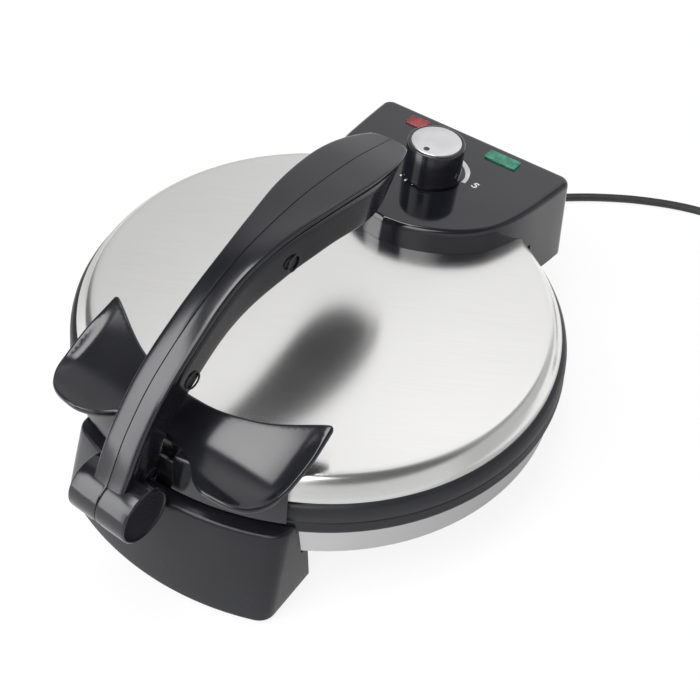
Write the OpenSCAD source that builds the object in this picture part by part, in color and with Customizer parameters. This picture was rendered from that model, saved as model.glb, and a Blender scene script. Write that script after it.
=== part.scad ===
// Countertop flatbread maker. Two heated round plates lie face to face, the
// upper one in a hinged steel lid, and a long cranked lever at the front
// presses the lid down. Everything is drawn about the axis of the plates and
// then moved so that the origin is under the middle of the whole object.

/* [Base] */
// How far the rubber feet stand out below the brackets
foot_h = 2.5; // [1.5:0.5:4]
// Radius of a rubber foot
foot_r = 7; // [5:0.5:8]
// Height of the front bracket
bracket_h = 50; // [46:1:52]
// Width of the front bracket at its foot
bracket_w = 151.4; // [140:0.2:160]
// How much narrower the front bracket is at its top
bracket_taper = 9; // [4:1:14]
// Radius of the front bracket's face at its top edge
bracket_r = 145.8; // [144:0.2:149]
// How far the front bracket's face flares out at the foot
bracket_flare = 16.2; // [10:0.2:20]
// Wall of the brackets
bracket_wall = 3; // [2:0.5:4]
// Width of the rear bracket
rear_bracket_w = 120; // [110:2:130]
// Height of the pan's floor above the brackets' feet
pan_rise = 25; // [22:0.5:28]
// Outer radius of the pressed steel pan
pan_r = 136.8; // [134:0.2:137.6]
// Height of the pan's wall
pan_h = 20.2; // [18:0.2:24]
// Sheet thickness of the pan
pan_wall = 1.2; // [0.8:0.1:2]

/* [Rings and plates] */
// Outer radius of the lower ring
ring_r = 138.3; // [137:0.1:139]
// Height of the lower ring above the pan's rim
lower_ring_h = 6.4; // [5:0.2:8]
// Gap between the closed rings
parting_gap = 0.7; // [0.5:0.1:1.5]
// Height of the upper ring
upper_ring_h = 9.7; // [8:0.1:12]
// Radius that the rings lose from their widest to their narrowest edge
ring_taper = 3.4; // [2:0.2:4]
// Radius of the cooking plates
plate_r = 125.5; // [120:0.5:126]
// Thickness of a cooking plate
plate_t = 5; // [4:0.5:6]
// How deep a plate lies below the edge of its ring
plate_recess = 0.9; // [0.5:0.1:1.5]
// Mean radius of a heating ring
heater_r = 85; // [70:1:90]
// Radius of the heater's tube
heater_tube_r = 3.2; // [2.5:0.1:4]
// Length of the pins at a heating ring's ends
heater_pin = 6.2; // [5:0.2:7]
// Radius of a heat shield
shield_r = 112; // [100:1:116]

/* [Lid] */
// Radius of the lid's skirt where it meets the upper ring
skirt_r = 133; // [131:0.5:133.5]
// Radius at which the flat top of the lid begins
shoulder_r = 123; // [118:0.5:126]
// Height of the lid's shoulder above its skirt's edge
lid_rise = 10.9; // [9:0.1:14]
// Rounding of the shoulder
shoulder_round = 5; // [3:0.5:7]
// Rise of the lid's top from its shoulder to its centre
dome_h = 1.1; // [0.5:0.1:4]
// Sheet thickness of the lid
lid_wall = 0.8; // [0.6:0.1:1.2]

/* [Control housing] */
// Height of the control panel above the lid's shoulder
panel_rise = 15.8; // [13:0.2:20]
// Rounding of the panel's edge
panel_round = 4; // [2:0.5:6]
// How far the housing's walls lean out from the panel to their lower edge
housing_flare = 7.8; // [4:0.2:9]
// Distance of the housing's back from the axis of the plates
rear_reach = 161.5; // [160:0.5:166]
// Height of the housing's lower edge above the feet
housing_low = 37; // [35.5:0.5:39.5]
// Wall of the control housing
housing_wall = 2.5; // [2:0.5:3]
// Distance of the knob's axis from the axis of the plates
knob_y = 108; // [106:0.5:109]
// Length of an indicator lens
lens_l = 22; // [16:1:24]
// Width of an indicator lens
lens_w = 9.6; // [7:0.2:11]
// Distance of each lens from the middle plane
lens_x = 25.6; // [22:0.2:30]
// Distance of the lenses from the axis of the plates
lens_y = 148.5; // [146:0.5:150]

/* [Knob] */
// Radius of the knob at its foot
knob_r = 17.8; // [14:0.2:19]
// Height of the knob
knob_h = 22.6; // [16:0.2:26]
// Radius that the knob loses to its top
knob_draft = 0.7; // [0:0.1:1.5]
// Radius of the silver cap
cap_r = 16; // [12:0.5:17]
// Running gap between the knob and the panel
knob_gap = 0.5; // [0.3:0.1:1]
// Radius of the thermostat's shaft
shaft_r = 3; // [2.5:0.1:4]

/* [Hinge] */
// Radius of the hinge's knuckles
knuckle_r = 7; // [6:0.25:7.5]
// Radius of the hinge pins
hinge_pin_r = 3; // [2:0.25:3.5]
// Distance of each knuckle's middle from the middle plane
knuckle_x = 30; // [26:1:34]
// Length of a knuckle
knuckle_l = 12; // [8:1:14]
// Thickness of the hinge plate and its ears
hinge_plate_t = 2; // [1.5:0.5:2.5]
// Free gap between the hinge's knuckles and the back wall
hinge_gap = 1.5; // [1:0.25:2]

/* [Lever] */
// Distance of the lever's pivot from the axis of the plates
pivot_y = 159.5; // [158:0.5:161]
// Height of the lever's pivot above the worktop
pivot_z = 59.7; // [59:0.1:61]
// Radius of the lever's cross barrel
barrel_r = 14.5; // [14:0.25:15]
// Length of the lever's cross barrel
barrel_l = 34; // [30:1:40]
// Wall of the lever's halves
lever_wall = 2.4; // [1.8:0.2:3]
// Height of the lever's crest above the worktop
lever_crest = 152.7; // [148:0.1:158]
// Depth of the strip along the lever's top edge
strip_t = 3; // [2:0.5:4]
// Width of the shadow groove under that strip
groove_w = 1.5; // [1:0.25:2]
// Depth of the shadow groove
groove_d = 2; // [1:0.25:2.5]
// Half width of the lever's neck
neck_w = 9.2; // [8.5:0.1:10.5]
// Half width of the lever's grip at its widest
grip_w = 18.8; // [15:0.1:22]
// Half width of the lever's tip
tip_w = 10; // [8:0.5:12]
// Radius of the lever's pivot pin
pivot_pin_r = 3; // [2:0.25:4]
// Thickness of the steel lug that carries the pivot pin
lug_t = 4; // [3:0.5:5]
// How far the lever swings while the lid opens
lever_swing = 148; // [130:1:148]

/* [Lid handle] */
// Radius of the handle's wall at its lower edge
handle_r = 141.4; // [140.5:0.1:143]
// Height of the handle's wall
handle_h = 21; // [18:0.5:24]
// How far the handle's wall leans in
handle_lean = 4.4; // [3:0.2:6]
// Half angle of the handle's wall about the axis of the plates
handle_angle = 29.3; // [26:0.1:32]
// Half width of the slot for the lever and its lug
handle_slot = 14.5; // [12:0.5:15]
// Thickness of the wings
wing_t = 4; // [3:0.5:5]
// Wall of the handle
handle_wall = 2.5; // [2:0.5:3]

/* [Screws and cord] */
// Radius of the screws' shanks
screw_r = 1.8; // [1.5:0.1:2]
// Radius of the screws' heads
screw_head_r = 3.6; // [3:0.2:4]
// Width of the flat cord
cord_w = 6.5; // [6:0.1:7]
// Thickness of the flat cord
cord_t = 3.4; // [3:0.1:3.6]
// Running clearance of every pin and shaft in its bore
run_gap = 0.05; // [0.03:0.01:0.08]
// Clearance between pieces that are fitted to each other
fit_gap = 0.15; // [0.1:0.05:0.3]

/* [Hidden] */
$fn = 64;

// Colours of the materials
satin_black = [0.07, 0.07, 0.075];
gloss_black = [0.03, 0.03, 0.035];
steel = [0.74, 0.74, 0.75];
dark_steel = [0.45, 0.45, 0.47];
aluminium = [0.66, 0.67, 0.68];
brass = [0.78, 0.62, 0.32];
wire_white = [0.85, 0.84, 0.8];

// The middle of the whole object lies between the barrel and the housing's back
pan_y = (pivot_y + barrel_r - rear_reach) / 2;

// Levels of the base
pan_z = foot_h + pan_rise;
pan_top = pan_z + pan_h;
lower_ring_top = pan_top + lower_ring_h;
lower_plate_top = lower_ring_top - plate_recess;
lower_plate_z = lower_plate_top - plate_t;
bracket_top = foot_h + bracket_h;
shelf_z = pan_z - bracket_wall;

// Levels of the lid
upper_ring_z = lower_ring_top + parting_gap;
upper_ring_top = upper_ring_z + upper_ring_h;
upper_plate_z = upper_ring_z + plate_recess;
upper_plate_top = upper_plate_z + plate_t;
shoulder_z = upper_ring_top + lid_rise;
lid_top = shoulder_z + dome_h;
panel_z = shoulder_z + panel_rise;
upper_ring_r = ring_r - 1;
ledge_r = plate_r - 5;
seat_r = plate_r + 0.4;

// Hinge of the lid
hinge_y = rear_reach - housing_wall - hinge_gap - knuckle_r;
hinge_z = pan_top - 0.2;
ear_gap = 1;
ear_in = knuckle_l / 2 + ear_gap;
ear_out = ear_in + 2 * hinge_plate_t;
rear_wall_y = hinge_y - knuckle_r - bracket_wall - 0.5;
hinge_flange_y = ring_r + 0.7;

// Lever and its lug
lug_arm = 3.5;
lug_eye_r = 6.5;
lug_y = bracket_r - 0.8;
lug_l = lug_y - ring_r - 1.2;
cheek_x = lug_t / 2 + 0.6;
pin_boss_r = 6.5;
lever_screw_places = [[-46, 131.5], [-114.5, 106.5], [-146, 68]];
lever_boss_r = 4;

// Ends of the screws that hold the handle and the housing, about the plates' axis
handle_screw_places = [[-40, -110], [40, -110]];
housing_screw_places = [[-40, 84], [40, 84]];
pan_screw_places = [[-52, -119], [52, -119], [-48, 116], [48, 116]];
foot_places = [[-60, -136], [60, -136], [-48, 126], [48, 126]];
boss_r = 4.5;

// Free length of a wire's end in front of what it is joined to
wire_gap = 0.5;

// Cord: exit from the rear bracket, then its route along the worktop
cord_exit_z = 13;
relief_l = 28.7;
cord_lie = 1.8;
cord_points = [
    [0, 180, 13], [0, 187, 12.6], [0, 197, 10.4], [1, 208, 6.4], [4, 219, 3.4],
    [9, 231, 2.1], [17, 244, 1.8], [27.5, 256.5, 1.8], [40, 268, 1.8],
    [53, 279.5, 1.8], [66, 289.5, 1.8], [79, 298.5, 1.8], [92, 306, 1.8],
    [105, 312.5, 1.8], [119, 318, 1.8], [134, 322, 1.8], [150, 324, 1.8],
    [167, 324, 1.8], [183, 324, 1.8]
];
tail_points = [
    [197, 324, 5.9], [206, 324, 5.7], [216, 324, 4.6], [227, 324, 3.2],
    [238, 324, 3.4], [248, 324, 4.8], [258, 324, 5.6]
];

// Coil: two layers of turns, wound in and then out again, on a middle point
coil_centre = [190, 368];
coil_r = 44;
coil_turns = 2;
coil_pitch = 7.6;
coil_layer = 4.1;
coil_steps = 24;
coil_lead = 7;

// Place on the coil after u turns; it climbs a layer where the spiral reverses
function coil_point(u) =
    let (r = coil_r - coil_pitch * (coil_turns - abs(u - coil_turns)))
    let (climb = min(1, max(0, (u - coil_turns + 0.25) / 0.5)))
    [coil_centre[0] + r * sin(360 * u), coil_centre[1] - r * cos(360 * u),
        cord_lie + coil_layer * climb];

// Point on a smooth curve through a, b, c and d, between b and c
function curve_point(a, b, c, d, t) =
    0.5 * (2 * b + (c - a) * t + (2 * a - 5 * b + 4 * c - d) * t * t
        + (3 * b - a - 3 * c + d) * t * t * t);

// Smooth open curve through the points p, with n steps between each two
function spline(p, n) = [
    for (i = [0:len(p) - 2]) for (k = [0:n - 1])
        let (a = i == 0 ? 2 * p[0] - p[1] : p[i - 1])
        let (d = i == len(p) - 2 ? 2 * p[i + 1] - p[i] : p[i + 2])
        curve_point(a, p[i], p[i + 1], d, k / n),
    p[len(p) - 1]
];

// Points of a circular arc
function arc(c, r, a0, a1, n) = [
    for (i = [0:n]) let (a = a0 + (a1 - a0) * i / n) c + r * [cos(a), sin(a)]
];

// Closed outline moved outwards by d, for an outline that runs clockwise
function grown(p, d) = [
    for (i = [0:len(p) - 1])
        let (t = p[(i + 1) % len(p)] - p[(i + len(p) - 1) % len(p)])
        p[i] + d * [-t[1], t[0]] / norm(t)
];

function reversed(p) = [for (i = [len(p) - 1:-1:0]) p[i]];

function mirrored(p) = [for (q = reversed(p)) [-q[0], q[1]]];

// Lid's outside as radius and height, grown by d, from its skirt to its centre
function lid_outline(d) =
    let (c = [shoulder_r, shoulder_z - shoulder_round])
    let (v = [skirt_r, upper_ring_top] - c)
    let (a0 = atan2(v[1], v[0]) + acos(shoulder_round / norm(v)))
    concat([[skirt_r + d / cos(a0), upper_ring_top]],
        arc(c, shoulder_round + d, a0, 90, 6),
        [for (k = [0.75, 0.5, 0.25, 0])
            [k * shoulder_r, shoulder_z + d + dome_h * (1 - k * k)]]);

// Everything is drawn about the plates' axis and placed by this
module from_pan() { translate([0, pan_y, 0]) children(); }

// Outline in depth and height, drawn across the width from x0 to x1
module across(x0, x1) {
    translate([x0, 0, 0]) rotate([90, 0, 90]) linear_extrude(x1 - x0) children();
}

// Outline in plan, drawn up from z0 to z1
module upright(z0, z1) { translate([0, 0, z0]) linear_extrude(z1 - z0) children(); }

module both_sides() { children(); mirror([1, 0, 0]) children(); }

// Round post from z0 to z1 at a place in plan
module post(place, r, z0, z1) {
    translate([place[0], place[1], z0]) cylinder(r = r, h = z1 - z0);
}

// Pin across the width at a depth and height
module cross_pin(y, z, r, x0, x1) {
    translate([x0, y, z]) rotate([0, 90, 0]) cylinder(r = r, h = x1 - x0);
}

// Screw that stands up from its head
module screw_up(place, z0, z1) {
    post(place, screw_head_r, z0 - 2, z0);
    post(place, screw_r, z0 - 0.1, z1);
}

// Direction of a route at its point i
function heading(p, i) =
    let (t = p[min(i + 1, len(p) - 1)] - p[max(i - 1, 0)]) t / norm(t);

// Direction across a route at its point i, level where the route allows it
function sideways(t) =
    let (c = abs(t[2]) > 0.95 ? cross(t, [0, 1, 0]) : cross(t, [0, 0, 1])) c / norm(c);

// One tube along a route, with a section given as width and height
module tube(p, section) {
    sides = len(section);
    points = [for (i = [0:len(p) - 1])
        let (t = heading(p, i), side = sideways(t), up = cross(side, t))
        for (c = section) p[i] + c[0] * side + c[1] * up];
    last = (len(p) - 1) * sides;
    walls = [for (i = [0:len(p) - 2]) for (k = [0:sides - 1])
        let (a = i * sides + k, b = i * sides + (k + 1) % sides)
        for (f = [[a, b, b + sides], [a, b + sides, a + sides]]) f];
    ends = [for (k = [1:sides - 2])
        for (f = [[0, k + 1, k], [last, last + k, last + k + 1]]) f];
    polyhedron(points = points, faces = concat(walls, ends));
}

// Insulated wire through a list of points
module wire(points, r) {
    tube(spline(points, 3), [for (k = [0:5]) r * [cos(60 * k), sin(60 * k)]]);
}

// Base

module base_pan() {
    color(steel) from_pan() difference() {
        rotate_extrude($fn = 128) polygon([
            [0, pan_z], [pan_r - 2, pan_z], [pan_r, pan_z + 2], [pan_r, pan_top],
            [pan_r - pan_wall, pan_top], [pan_r - pan_wall, pan_z + 2 + pan_wall / 2],
            [pan_r - 2 - pan_wall / 2, pan_z + pan_wall], [0, pan_z + pan_wall]
        ]);
        for (p = pan_screw_places) post(p, screw_r + fit_gap, pan_z - 1, pan_z + 3);
        post([0, 118], 7, pan_z - 1, pan_z + 3);
    }
}

module lower_ring() {
    skirt = pan_r - pan_wall - fit_gap;
    color(satin_black) from_pan() rotate_extrude($fn = 128) polygon([
        [skirt, pan_top - 3], [skirt, pan_top], [ring_r - 0.4, pan_top],
        [ring_r, pan_top + 0.6], [ring_r, pan_top + 1.6],
        [ring_r - 1.1, lower_ring_top - 0.5], [ring_r - 1.6, lower_ring_top],
        [seat_r + 1.5, lower_ring_top], [seat_r, lower_plate_top],
        [seat_r, lower_plate_z], [ledge_r, lower_plate_z],
        [ledge_r, lower_plate_z - 3.5], [skirt - 6, lower_plate_z - 3.5]
    ]);
}

// Cast plate with a shallow rounded edge on its cooking side
module cooking_plate(z_back, z_face) {
    s = sign(z_face - z_back);
    rotate_extrude($fn = 128) polygon([
        [0, z_back], [plate_r, z_back], [plate_r, z_face - s * 1.2],
        [plate_r - 0.4, z_face - s * 0.4], [plate_r - 1.2, z_face], [0, z_face]
    ]);
}

module lower_plate() {
    color(aluminium) from_pan() cooking_plate(lower_plate_z + 0.02, lower_plate_top);
}

// Bent tube with its two ends turned away from the plate
module heating_ring(z_plate, away, pin_l) {
    z = z_plate + away * (heater_tube_r + 0.05);
    half_open = 12;
    translate([0, 0, z]) rotate([0, 0, 90 + half_open])
        rotate_extrude(angle = 360 - 2 * half_open, $fn = 96)
            translate([heater_r, 0]) circle(r = heater_tube_r, $fn = 24);
    for (a = [90 - half_open, 90 + half_open]) {
        p = heater_r * [cos(a), sin(a)];
        post(p, heater_tube_r - 0.6, min(z, z + away * 5), max(z, z + away * 5));
        post(p, 1.2, min(z, z + away * pin_l), max(z, z + away * pin_l));
    }
}

// Thin disc behind a heater, on three dimples that touch the plate
module heat_shield(z_plate, away, hole_y, hole_r) {
    z = z_plate + away * 9;
    z0 = min(z, z + away * 0.8);
    difference() {
        union() {
            translate([0, 0, z0]) cylinder(r = shield_r, h = 0.8, $fn = 96);
            for (a = [30, 150, 270])
                post(60 * [cos(a), sin(a)], 5, min(z, z_plate + away * fit_gap),
                    max(z, z_plate + away * fit_gap));
        }
        post([0, hole_y], hole_r, z0 - 1, z0 + 2);
    }
}

module lower_heater() {
    color(dark_steel) from_pan() heating_ring(lower_plate_z, -1, heater_pin);
}

module lower_heat_shield() {
    color(aluminium) from_pan() heat_shield(lower_plate_z, -1, heater_r, 24);
}

// Plan of the front bracket, as a block that narrows towards its top
module bracket_block(inset, z_top) {
    w0 = bracket_w / 2 - inset;
    w1 = w0 - bracket_taper / 2;
    y_back = 112.5 - inset;
    translate([0, -y_back, 0]) rotate([90, 0, 0]) linear_extrude(80) polygon([
        [-w0, -1], [w0, -1], [w0, foot_h], [w1, z_top], [-w1, z_top], [-w0, foot_h]
    ]);
}

// Room for the pan and the lower ring in a bracket
module pan_seat() {
    rotate_extrude($fn = 128) polygon([
        [0, pan_z - fit_gap], [pan_r - 2, pan_z - fit_gap],
        [pan_r + 0.3, pan_z + 2 - fit_gap], [pan_r + 0.3, pan_top - 0.6],
        [ring_r + 0.3, pan_top - 0.2], [ring_r + 0.3, bracket_top + 10],
        [0, bracket_top + 10]
    ]);
}

module front_bracket() {
    face = bracket_r + bracket_flare;
    slope = bracket_flare / bracket_h;
    wall_top = bracket_top - bracket_wall;
    rib_z = foot_h + 8;
    color(gloss_black) from_pan() difference() {
        intersection() {
            rotate_extrude($fn = 128) polygon([
                [0, foot_h], [face, foot_h], [bracket_r + slope * 1.5, bracket_top - 1.5],
                [bracket_r - 1.2, bracket_top], [0, bracket_top]
            ]);
            bracket_block(0, bracket_top + 1);
        }
        pan_seat();
        difference() {
            intersection() {
                rotate_extrude($fn = 128) polygon([
                    [0, foot_h - 1], [face + slope - bracket_wall, foot_h - 1],
                    [bracket_r + slope * bracket_wall - bracket_wall, wall_top],
                    [ring_r + 0.3 + bracket_wall, wall_top],
                    [pan_r + 0.3 + bracket_wall, shelf_z], [0, shelf_z]
                ]);
                bracket_block(bracket_wall, bracket_top + 1);
            }
            for (p = [foot_places[0], foot_places[1]])
                post(p, foot_r + 1.5, foot_h - 2, shelf_z + 1);
            for (p = [pan_screw_places[0], pan_screw_places[1]])
                post(p, boss_r, rib_z, shelf_z + 1);
            across(-lug_t / 2 - 4, lug_t / 2 + 4) polygon([
                [-ring_r + 2, rib_z], [-face, rib_z], [-face, bracket_top],
                [-ring_r + 2, bracket_top]
            ]);
        }
        for (p = [foot_places[0], foot_places[1]]) post(p, 3.1, foot_h - 2, foot_h + 7);
        for (p = [pan_screw_places[0], pan_screw_places[1]])
            post(p, screw_r + fit_gap, rib_z + 3, pan_z + 1);
        across(-lug_t / 2 - fit_gap, lug_t / 2 + fit_gap) polygon([
            [-lug_y - fit_gap, rib_z + 3], [-lug_y + lug_l + fit_gap, rib_z + 3],
            [-lug_y + lug_l + fit_gap, bracket_top + 1],
            [-lug_y - fit_gap, bracket_top + 1]
        ]);
    }
}

// Steel plate that stands in the front bracket and reaches into the barrel
module lever_lug() {
    back = -lug_y + lug_l;
    color(dark_steel) from_pan() difference() {
        across(-lug_t / 2, lug_t / 2) union() {
            translate([-pivot_y, pivot_z]) circle(r = lug_eye_r);
            polygon([
                [-pivot_y, pivot_z - lug_arm], [-lug_y, pivot_z - lug_arm],
                [-lug_y, foot_h + 12], [back, foot_h + 12],
                [back, pivot_z + lug_arm - 3], [back - 3, pivot_z + lug_arm],
                [-pivot_y, pivot_z + lug_arm]
            ]);
        }
        cross_pin(-pivot_y, pivot_z, pivot_pin_r + run_gap, -lug_t, lug_t);
    }
}

module rear_bracket() {
    w = rear_bracket_w / 2;
    back = rear_wall_y + bracket_wall;
    y0 = 106;
    wall_top = hinge_z - 1.5;
    color(gloss_black) from_pan() difference() {
        union() {
            difference() {
                translate([-w, y0, foot_h]) cube([2 * w, back - y0, pan_z - foot_h]);
                translate([-w + bracket_wall, y0 + bracket_wall, foot_h - 1])
                    cube([2 * (w - bracket_wall), rear_wall_y - y0 - bracket_wall,
                        shelf_z - foot_h + 1]);
            }
            translate([-knuckle_x - 15, rear_wall_y, foot_h])
                cube([2 * knuckle_x + 30, bracket_wall, wall_top - foot_h]);
            for (p = [foot_places[2], foot_places[3]])
                post(p, foot_r + 1.5, foot_h, shelf_z + 1);
            for (p = [pan_screw_places[2], pan_screw_places[3]])
                post(p, boss_r, foot_h + 8, shelf_z + 1);
            both_sides() across(knuckle_x - knuckle_l / 2, knuckle_x + knuckle_l / 2) union() {
                translate([hinge_y, hinge_z]) circle(r = knuckle_r);
                polygon([
                    [back - 1, hinge_z - knuckle_r - 2.5],
                    [hinge_y - 2, hinge_z - knuckle_r + 0.4],
                    [hinge_y, hinge_z], [back - 1, wall_top]
                ]);
            }
        }
        pan_seat();
        for (p = [foot_places[2], foot_places[3]]) post(p, 3.1, foot_h - 2, foot_h + 7);
        for (p = [pan_screw_places[2], pan_screw_places[3]])
            post(p, screw_r + fit_gap, foot_h + 11, pan_z + 1);
        cross_pin(hinge_y, hinge_z, hinge_pin_r + run_gap, -knuckle_x - knuckle_l,
            knuckle_x + knuckle_l);
        translate([0, rear_wall_y - 1, cord_exit_z]) rotate([-90, 0, 0])
            cylinder(r = 6.5, h = bracket_wall + 2);
        post([0, 118], 7, shelf_z - 1, pan_z + 1);
    }
}

module pan_screws() {
    color(steel) from_pan() for (p = pan_screw_places) {
        post(p, screw_head_r, pan_z + pan_wall + 0.02, pan_z + pan_wall + 2);
        post(p, screw_r, foot_h + 14, pan_z + pan_wall + 0.1);
    }
}

module rubber_feet() {
    color([0.1, 0.1, 0.1]) from_pan() for (p = foot_places) {
        post(p, foot_r, 0, foot_h - 0.02);
        post(p, 3, foot_h - 0.1, foot_h + 6);
    }
}

module terminal_block() {
    color(wire_white) from_pan() difference() {
        translate([-14, 92, pan_z + pan_wall + 0.02]) cube([28, 10, 8]);
        for (x = [-8, 0, 8]) translate([x, 91, pan_z + pan_wall + 5])
            rotate([-90, 0, 0]) cylinder(r = 1.5, h = 12);
    }
}

// Leads from the cord's end up to the block, and from there to the lower heater
module base_wiring() {
    block_z = pan_z + pan_wall + 5;
    a = 12;
    pin = heater_r * [sin(a), cos(a)];
    pin_z = lower_plate_z - heater_tube_r - heater_pin - wire_gap;
    color(wire_white) from_pan() {
        for (s = [-1, 1]) {
            wire([[s * 2.2, rear_wall_y - 2, cord_exit_z],
                [s * 2.2, rear_wall_y - 5, cord_exit_z], [s * 3, 124, cord_exit_z + 4],
                [s * 4, 117, pan_z + 1], [s * 7, 109, block_z], [s * 8, 104, block_z],
                [s * 8, 98, block_z]], 1.1);
            wire([[s * 8, 97, block_z], [s * 8, 91, block_z], [s * 11, 86, block_z - 2],
                [s * pin[0], pin[1], block_z], [s * pin[0], pin[1], pin_z]], 1.1);
        }
    }
}

// Tapered sleeve with a collar on each side of the bracket's wall
module strain_relief() {
    color([0.06, 0.06, 0.06]) from_pan() translate([0, rear_wall_y, cord_exit_z])
        rotate([-90, 0, 0]) difference() {
            union() {
                translate([0, 0, -2]) cylinder(r = 7.5, h = 1.9);
                translate([0, 0, -0.2]) cylinder(r = 6.4, h = bracket_wall + 0.4);
                translate([0, 0, bracket_wall + 0.1]) cylinder(r = 7.5, h = 2);
                translate([0, 0, bracket_wall + 2]) cylinder(r1 = 6, r2 = 4.4, h = relief_l);
            }
            for (s = [-1, 1]) translate([s * 2.2, 0, -3]) cylinder(r = 1.3, h = 4);
        }
}

// Lid

module lid_shell() {
    color(steel) from_pan() difference() {
        rotate_extrude($fn = 160)
            polygon(concat(lid_outline(0), reversed(lid_outline(-lid_wall))));
        post([0, knob_y], 22, upper_ring_top, panel_z);
        for (p = concat(handle_screw_places, housing_screw_places))
            post(p, screw_r + fit_gap, upper_ring_top, panel_z);
    }
}

module upper_ring() {
    r1 = ring_r - ring_taper - 1;
    color(satin_black) from_pan() difference() {
        union() {
            rotate_extrude($fn = 128) polygon([
                [seat_r + 1.5, upper_ring_z], [upper_ring_r - 0.5, upper_ring_z],
                [upper_ring_r, upper_ring_z + 0.6], [r1, upper_ring_top - 0.02],
                [ledge_r, upper_ring_top - 0.02], [ledge_r, upper_plate_top + 0.02],
                [seat_r, upper_plate_top + 0.02], [seat_r, upper_plate_z]
            ]);
            intersection() {
                translate([-knuckle_x - 12, ring_r - 12, upper_ring_z])
                    cube([2 * knuckle_x + 24, 12.5, upper_ring_h + 2]);
                difference() {
                    cylinder(r = 200, h = 200);
                    translate([0, 0, upper_ring_z - 1])
                        cylinder(r = ring_r - 8, h = upper_ring_h + 4);
                }
            }
        }
        lid_room(fit_gap);
        for (x = [-12, 12]) translate([x, ring_r - 9, upper_ring_z + 6])
            rotate([-90, 0, 0]) cylinder(r = screw_r + fit_gap, h = 12);
    }
}

// Space that the steel lid fills, grown by d
module lid_room(d) {
    rotate_extrude($fn = 160) polygon(concat([[0, upper_ring_top]], lid_outline(d)));
}

module upper_plate() {
    color(aluminium) from_pan() cooking_plate(upper_plate_top, upper_plate_z);
}

module upper_heater() {
    color(dark_steel) from_pan() heating_ring(upper_plate_top, 1, heater_pin);
}

module upper_heat_shield() {
    color(aluminium) from_pan() heat_shield(upper_plate_top, 1, 97, 29);
}

// Sector of the handle's wall: radius and height outline, turned by half angle a
module handle_sector(a) {
    rotate([0, 0, -90 - a]) rotate_extrude(angle = 2 * a, $fn = 160) children();
}

// Upper face of the wings as depth and height, from the front edge to the rear
wing_crown = spline([[-147, 81.4], [-136, 80.6], [-124, 81.6],
    [-110, 85.4], [-98, 89], [-86, 93.6]], 4);
// Plan of the right wing from the middle of the rear edge to the slot's front corner
wing_plan = spline([[0, -108.5], [20, -106.8], [38, -101.4], [52, -93.8], [63, -86.6],
    [67.2, -88.4], [68.7, -104], [67.6, -122], [61, -136.5], [50, -145.2], [42, -146.2],
    [34, -143], [26, -138]], 4);

module lid_handle() {
    z0 = upper_ring_z + 2.7;
    z1 = z0 + handle_h;
    deck_r = shoulder_r - 11;
    slope = handle_lean / handle_h;
    plan = concat(wing_plan, [[handle_slot, -132], [handle_slot, -122.5]]);
    outline = concat(plan, mirrored(plan));
    color(gloss_black) from_pan() difference() {
        union() {
            difference() {
                handle_sector(handle_angle) polygon([
                    [deck_r, z0], [handle_r, z0], [handle_r - handle_lean, z1], [deck_r, z1]
                ]);
                handle_sector(handle_angle - 1.3) polygon([
                    [deck_r - 1, z0 - 1], [handle_r - handle_wall + slope, z0 - 1],
                    [handle_r - handle_wall - handle_lean + slope * handle_wall,
                        z1 - handle_wall],
                    [deck_r - 1, z1 - handle_wall]
                ]);
            }
            intersection() {
                across(-80, 80) polygon(concat(wing_crown,
                    [for (p = reversed(wing_crown)) p - [0, wing_t]]));
                upright(60, 110) polygon(outline);
            }
            both_sides() for (x = [22, 52]) across(x, x + handle_wall) polygon([
                [-134, z1 - 1], [-112, z1 - 1], [-112, 82], [-126, 79], [-134, 79]
            ]);
            intersection() {
                handle_sector(handle_angle) polygon([
                    [deck_r, z0], [handle_r, z0], [handle_r - handle_lean, z1], [deck_r, z1]
                ]);
                both_sides() translate([handle_slot, -200, 0])
                    cube([handle_wall, 200, 200]);
            }
            for (p = handle_screw_places) post(p, boss_r, z1 - 3, z1 + 1);
        }
        translate([-handle_slot, -200, 0]) cube([2 * handle_slot, 200 - 122.5, 200]);
        lid_room(fit_gap);
        cylinder(r = upper_ring_r + 0.3, h = upper_ring_top);
        for (p = handle_screw_places) post(p, screw_r + fit_gap, z0, z1 + 1.5);
    }
}

module handle_screws() {
    color(steel) from_pan() for (p = handle_screw_places)
        screw_up(p, shoulder_z - lid_wall - 0.05, shoulder_z + 4.5);
}

// Half of the housing's plan, from the middle of its front to its back corner
housing_plan = spline([[0, 57.5], [14, 59.6], [35.4, 72.1], [48.6, 90.4], [56, 112],
    [62.2, 136], [64.6, 170]], 4);
housing_front = reversed(concat(
    mirrored([for (i = [1:len(housing_plan) - 1]) housing_plan[i]]), housing_plan));

// Housing's outside, with its walls drawn in by inset and its panel lowered
module housing_block(inset, z_low) {
    flare = housing_flare / (panel_z - panel_round - foot_h - housing_low);
    drop = panel_z - panel_round - z_low;
    hull() for (s = [
        [panel_z, 0], [panel_z - 0.13 * panel_round, 0.5 * panel_round],
        [panel_z - 0.5 * panel_round, 0.87 * panel_round],
        [panel_z - panel_round, panel_round], [z_low, panel_round + drop * flare]
    ]) translate([0, 0, s[0] - inset]) linear_extrude(0.01)
        polygon(grown(housing_front, s[1] - inset));
}

// Rounded rectangle round a place
module lens_shape(x, grow) {
    r = 1.6;
    w = lens_l / 2 - r;
    h = lens_w / 2 - r;
    translate([x, lens_y]) union() {
        square([2 * (w + r + grow), 2 * h], center = true);
        square([2 * w, 2 * (h + r + grow)], center = true);
        for (i = [-1, 1]) for (j = [-1, 1])
            translate([i * w, j * h]) circle(r = r + grow, $fn = 24);
    }
}

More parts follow.
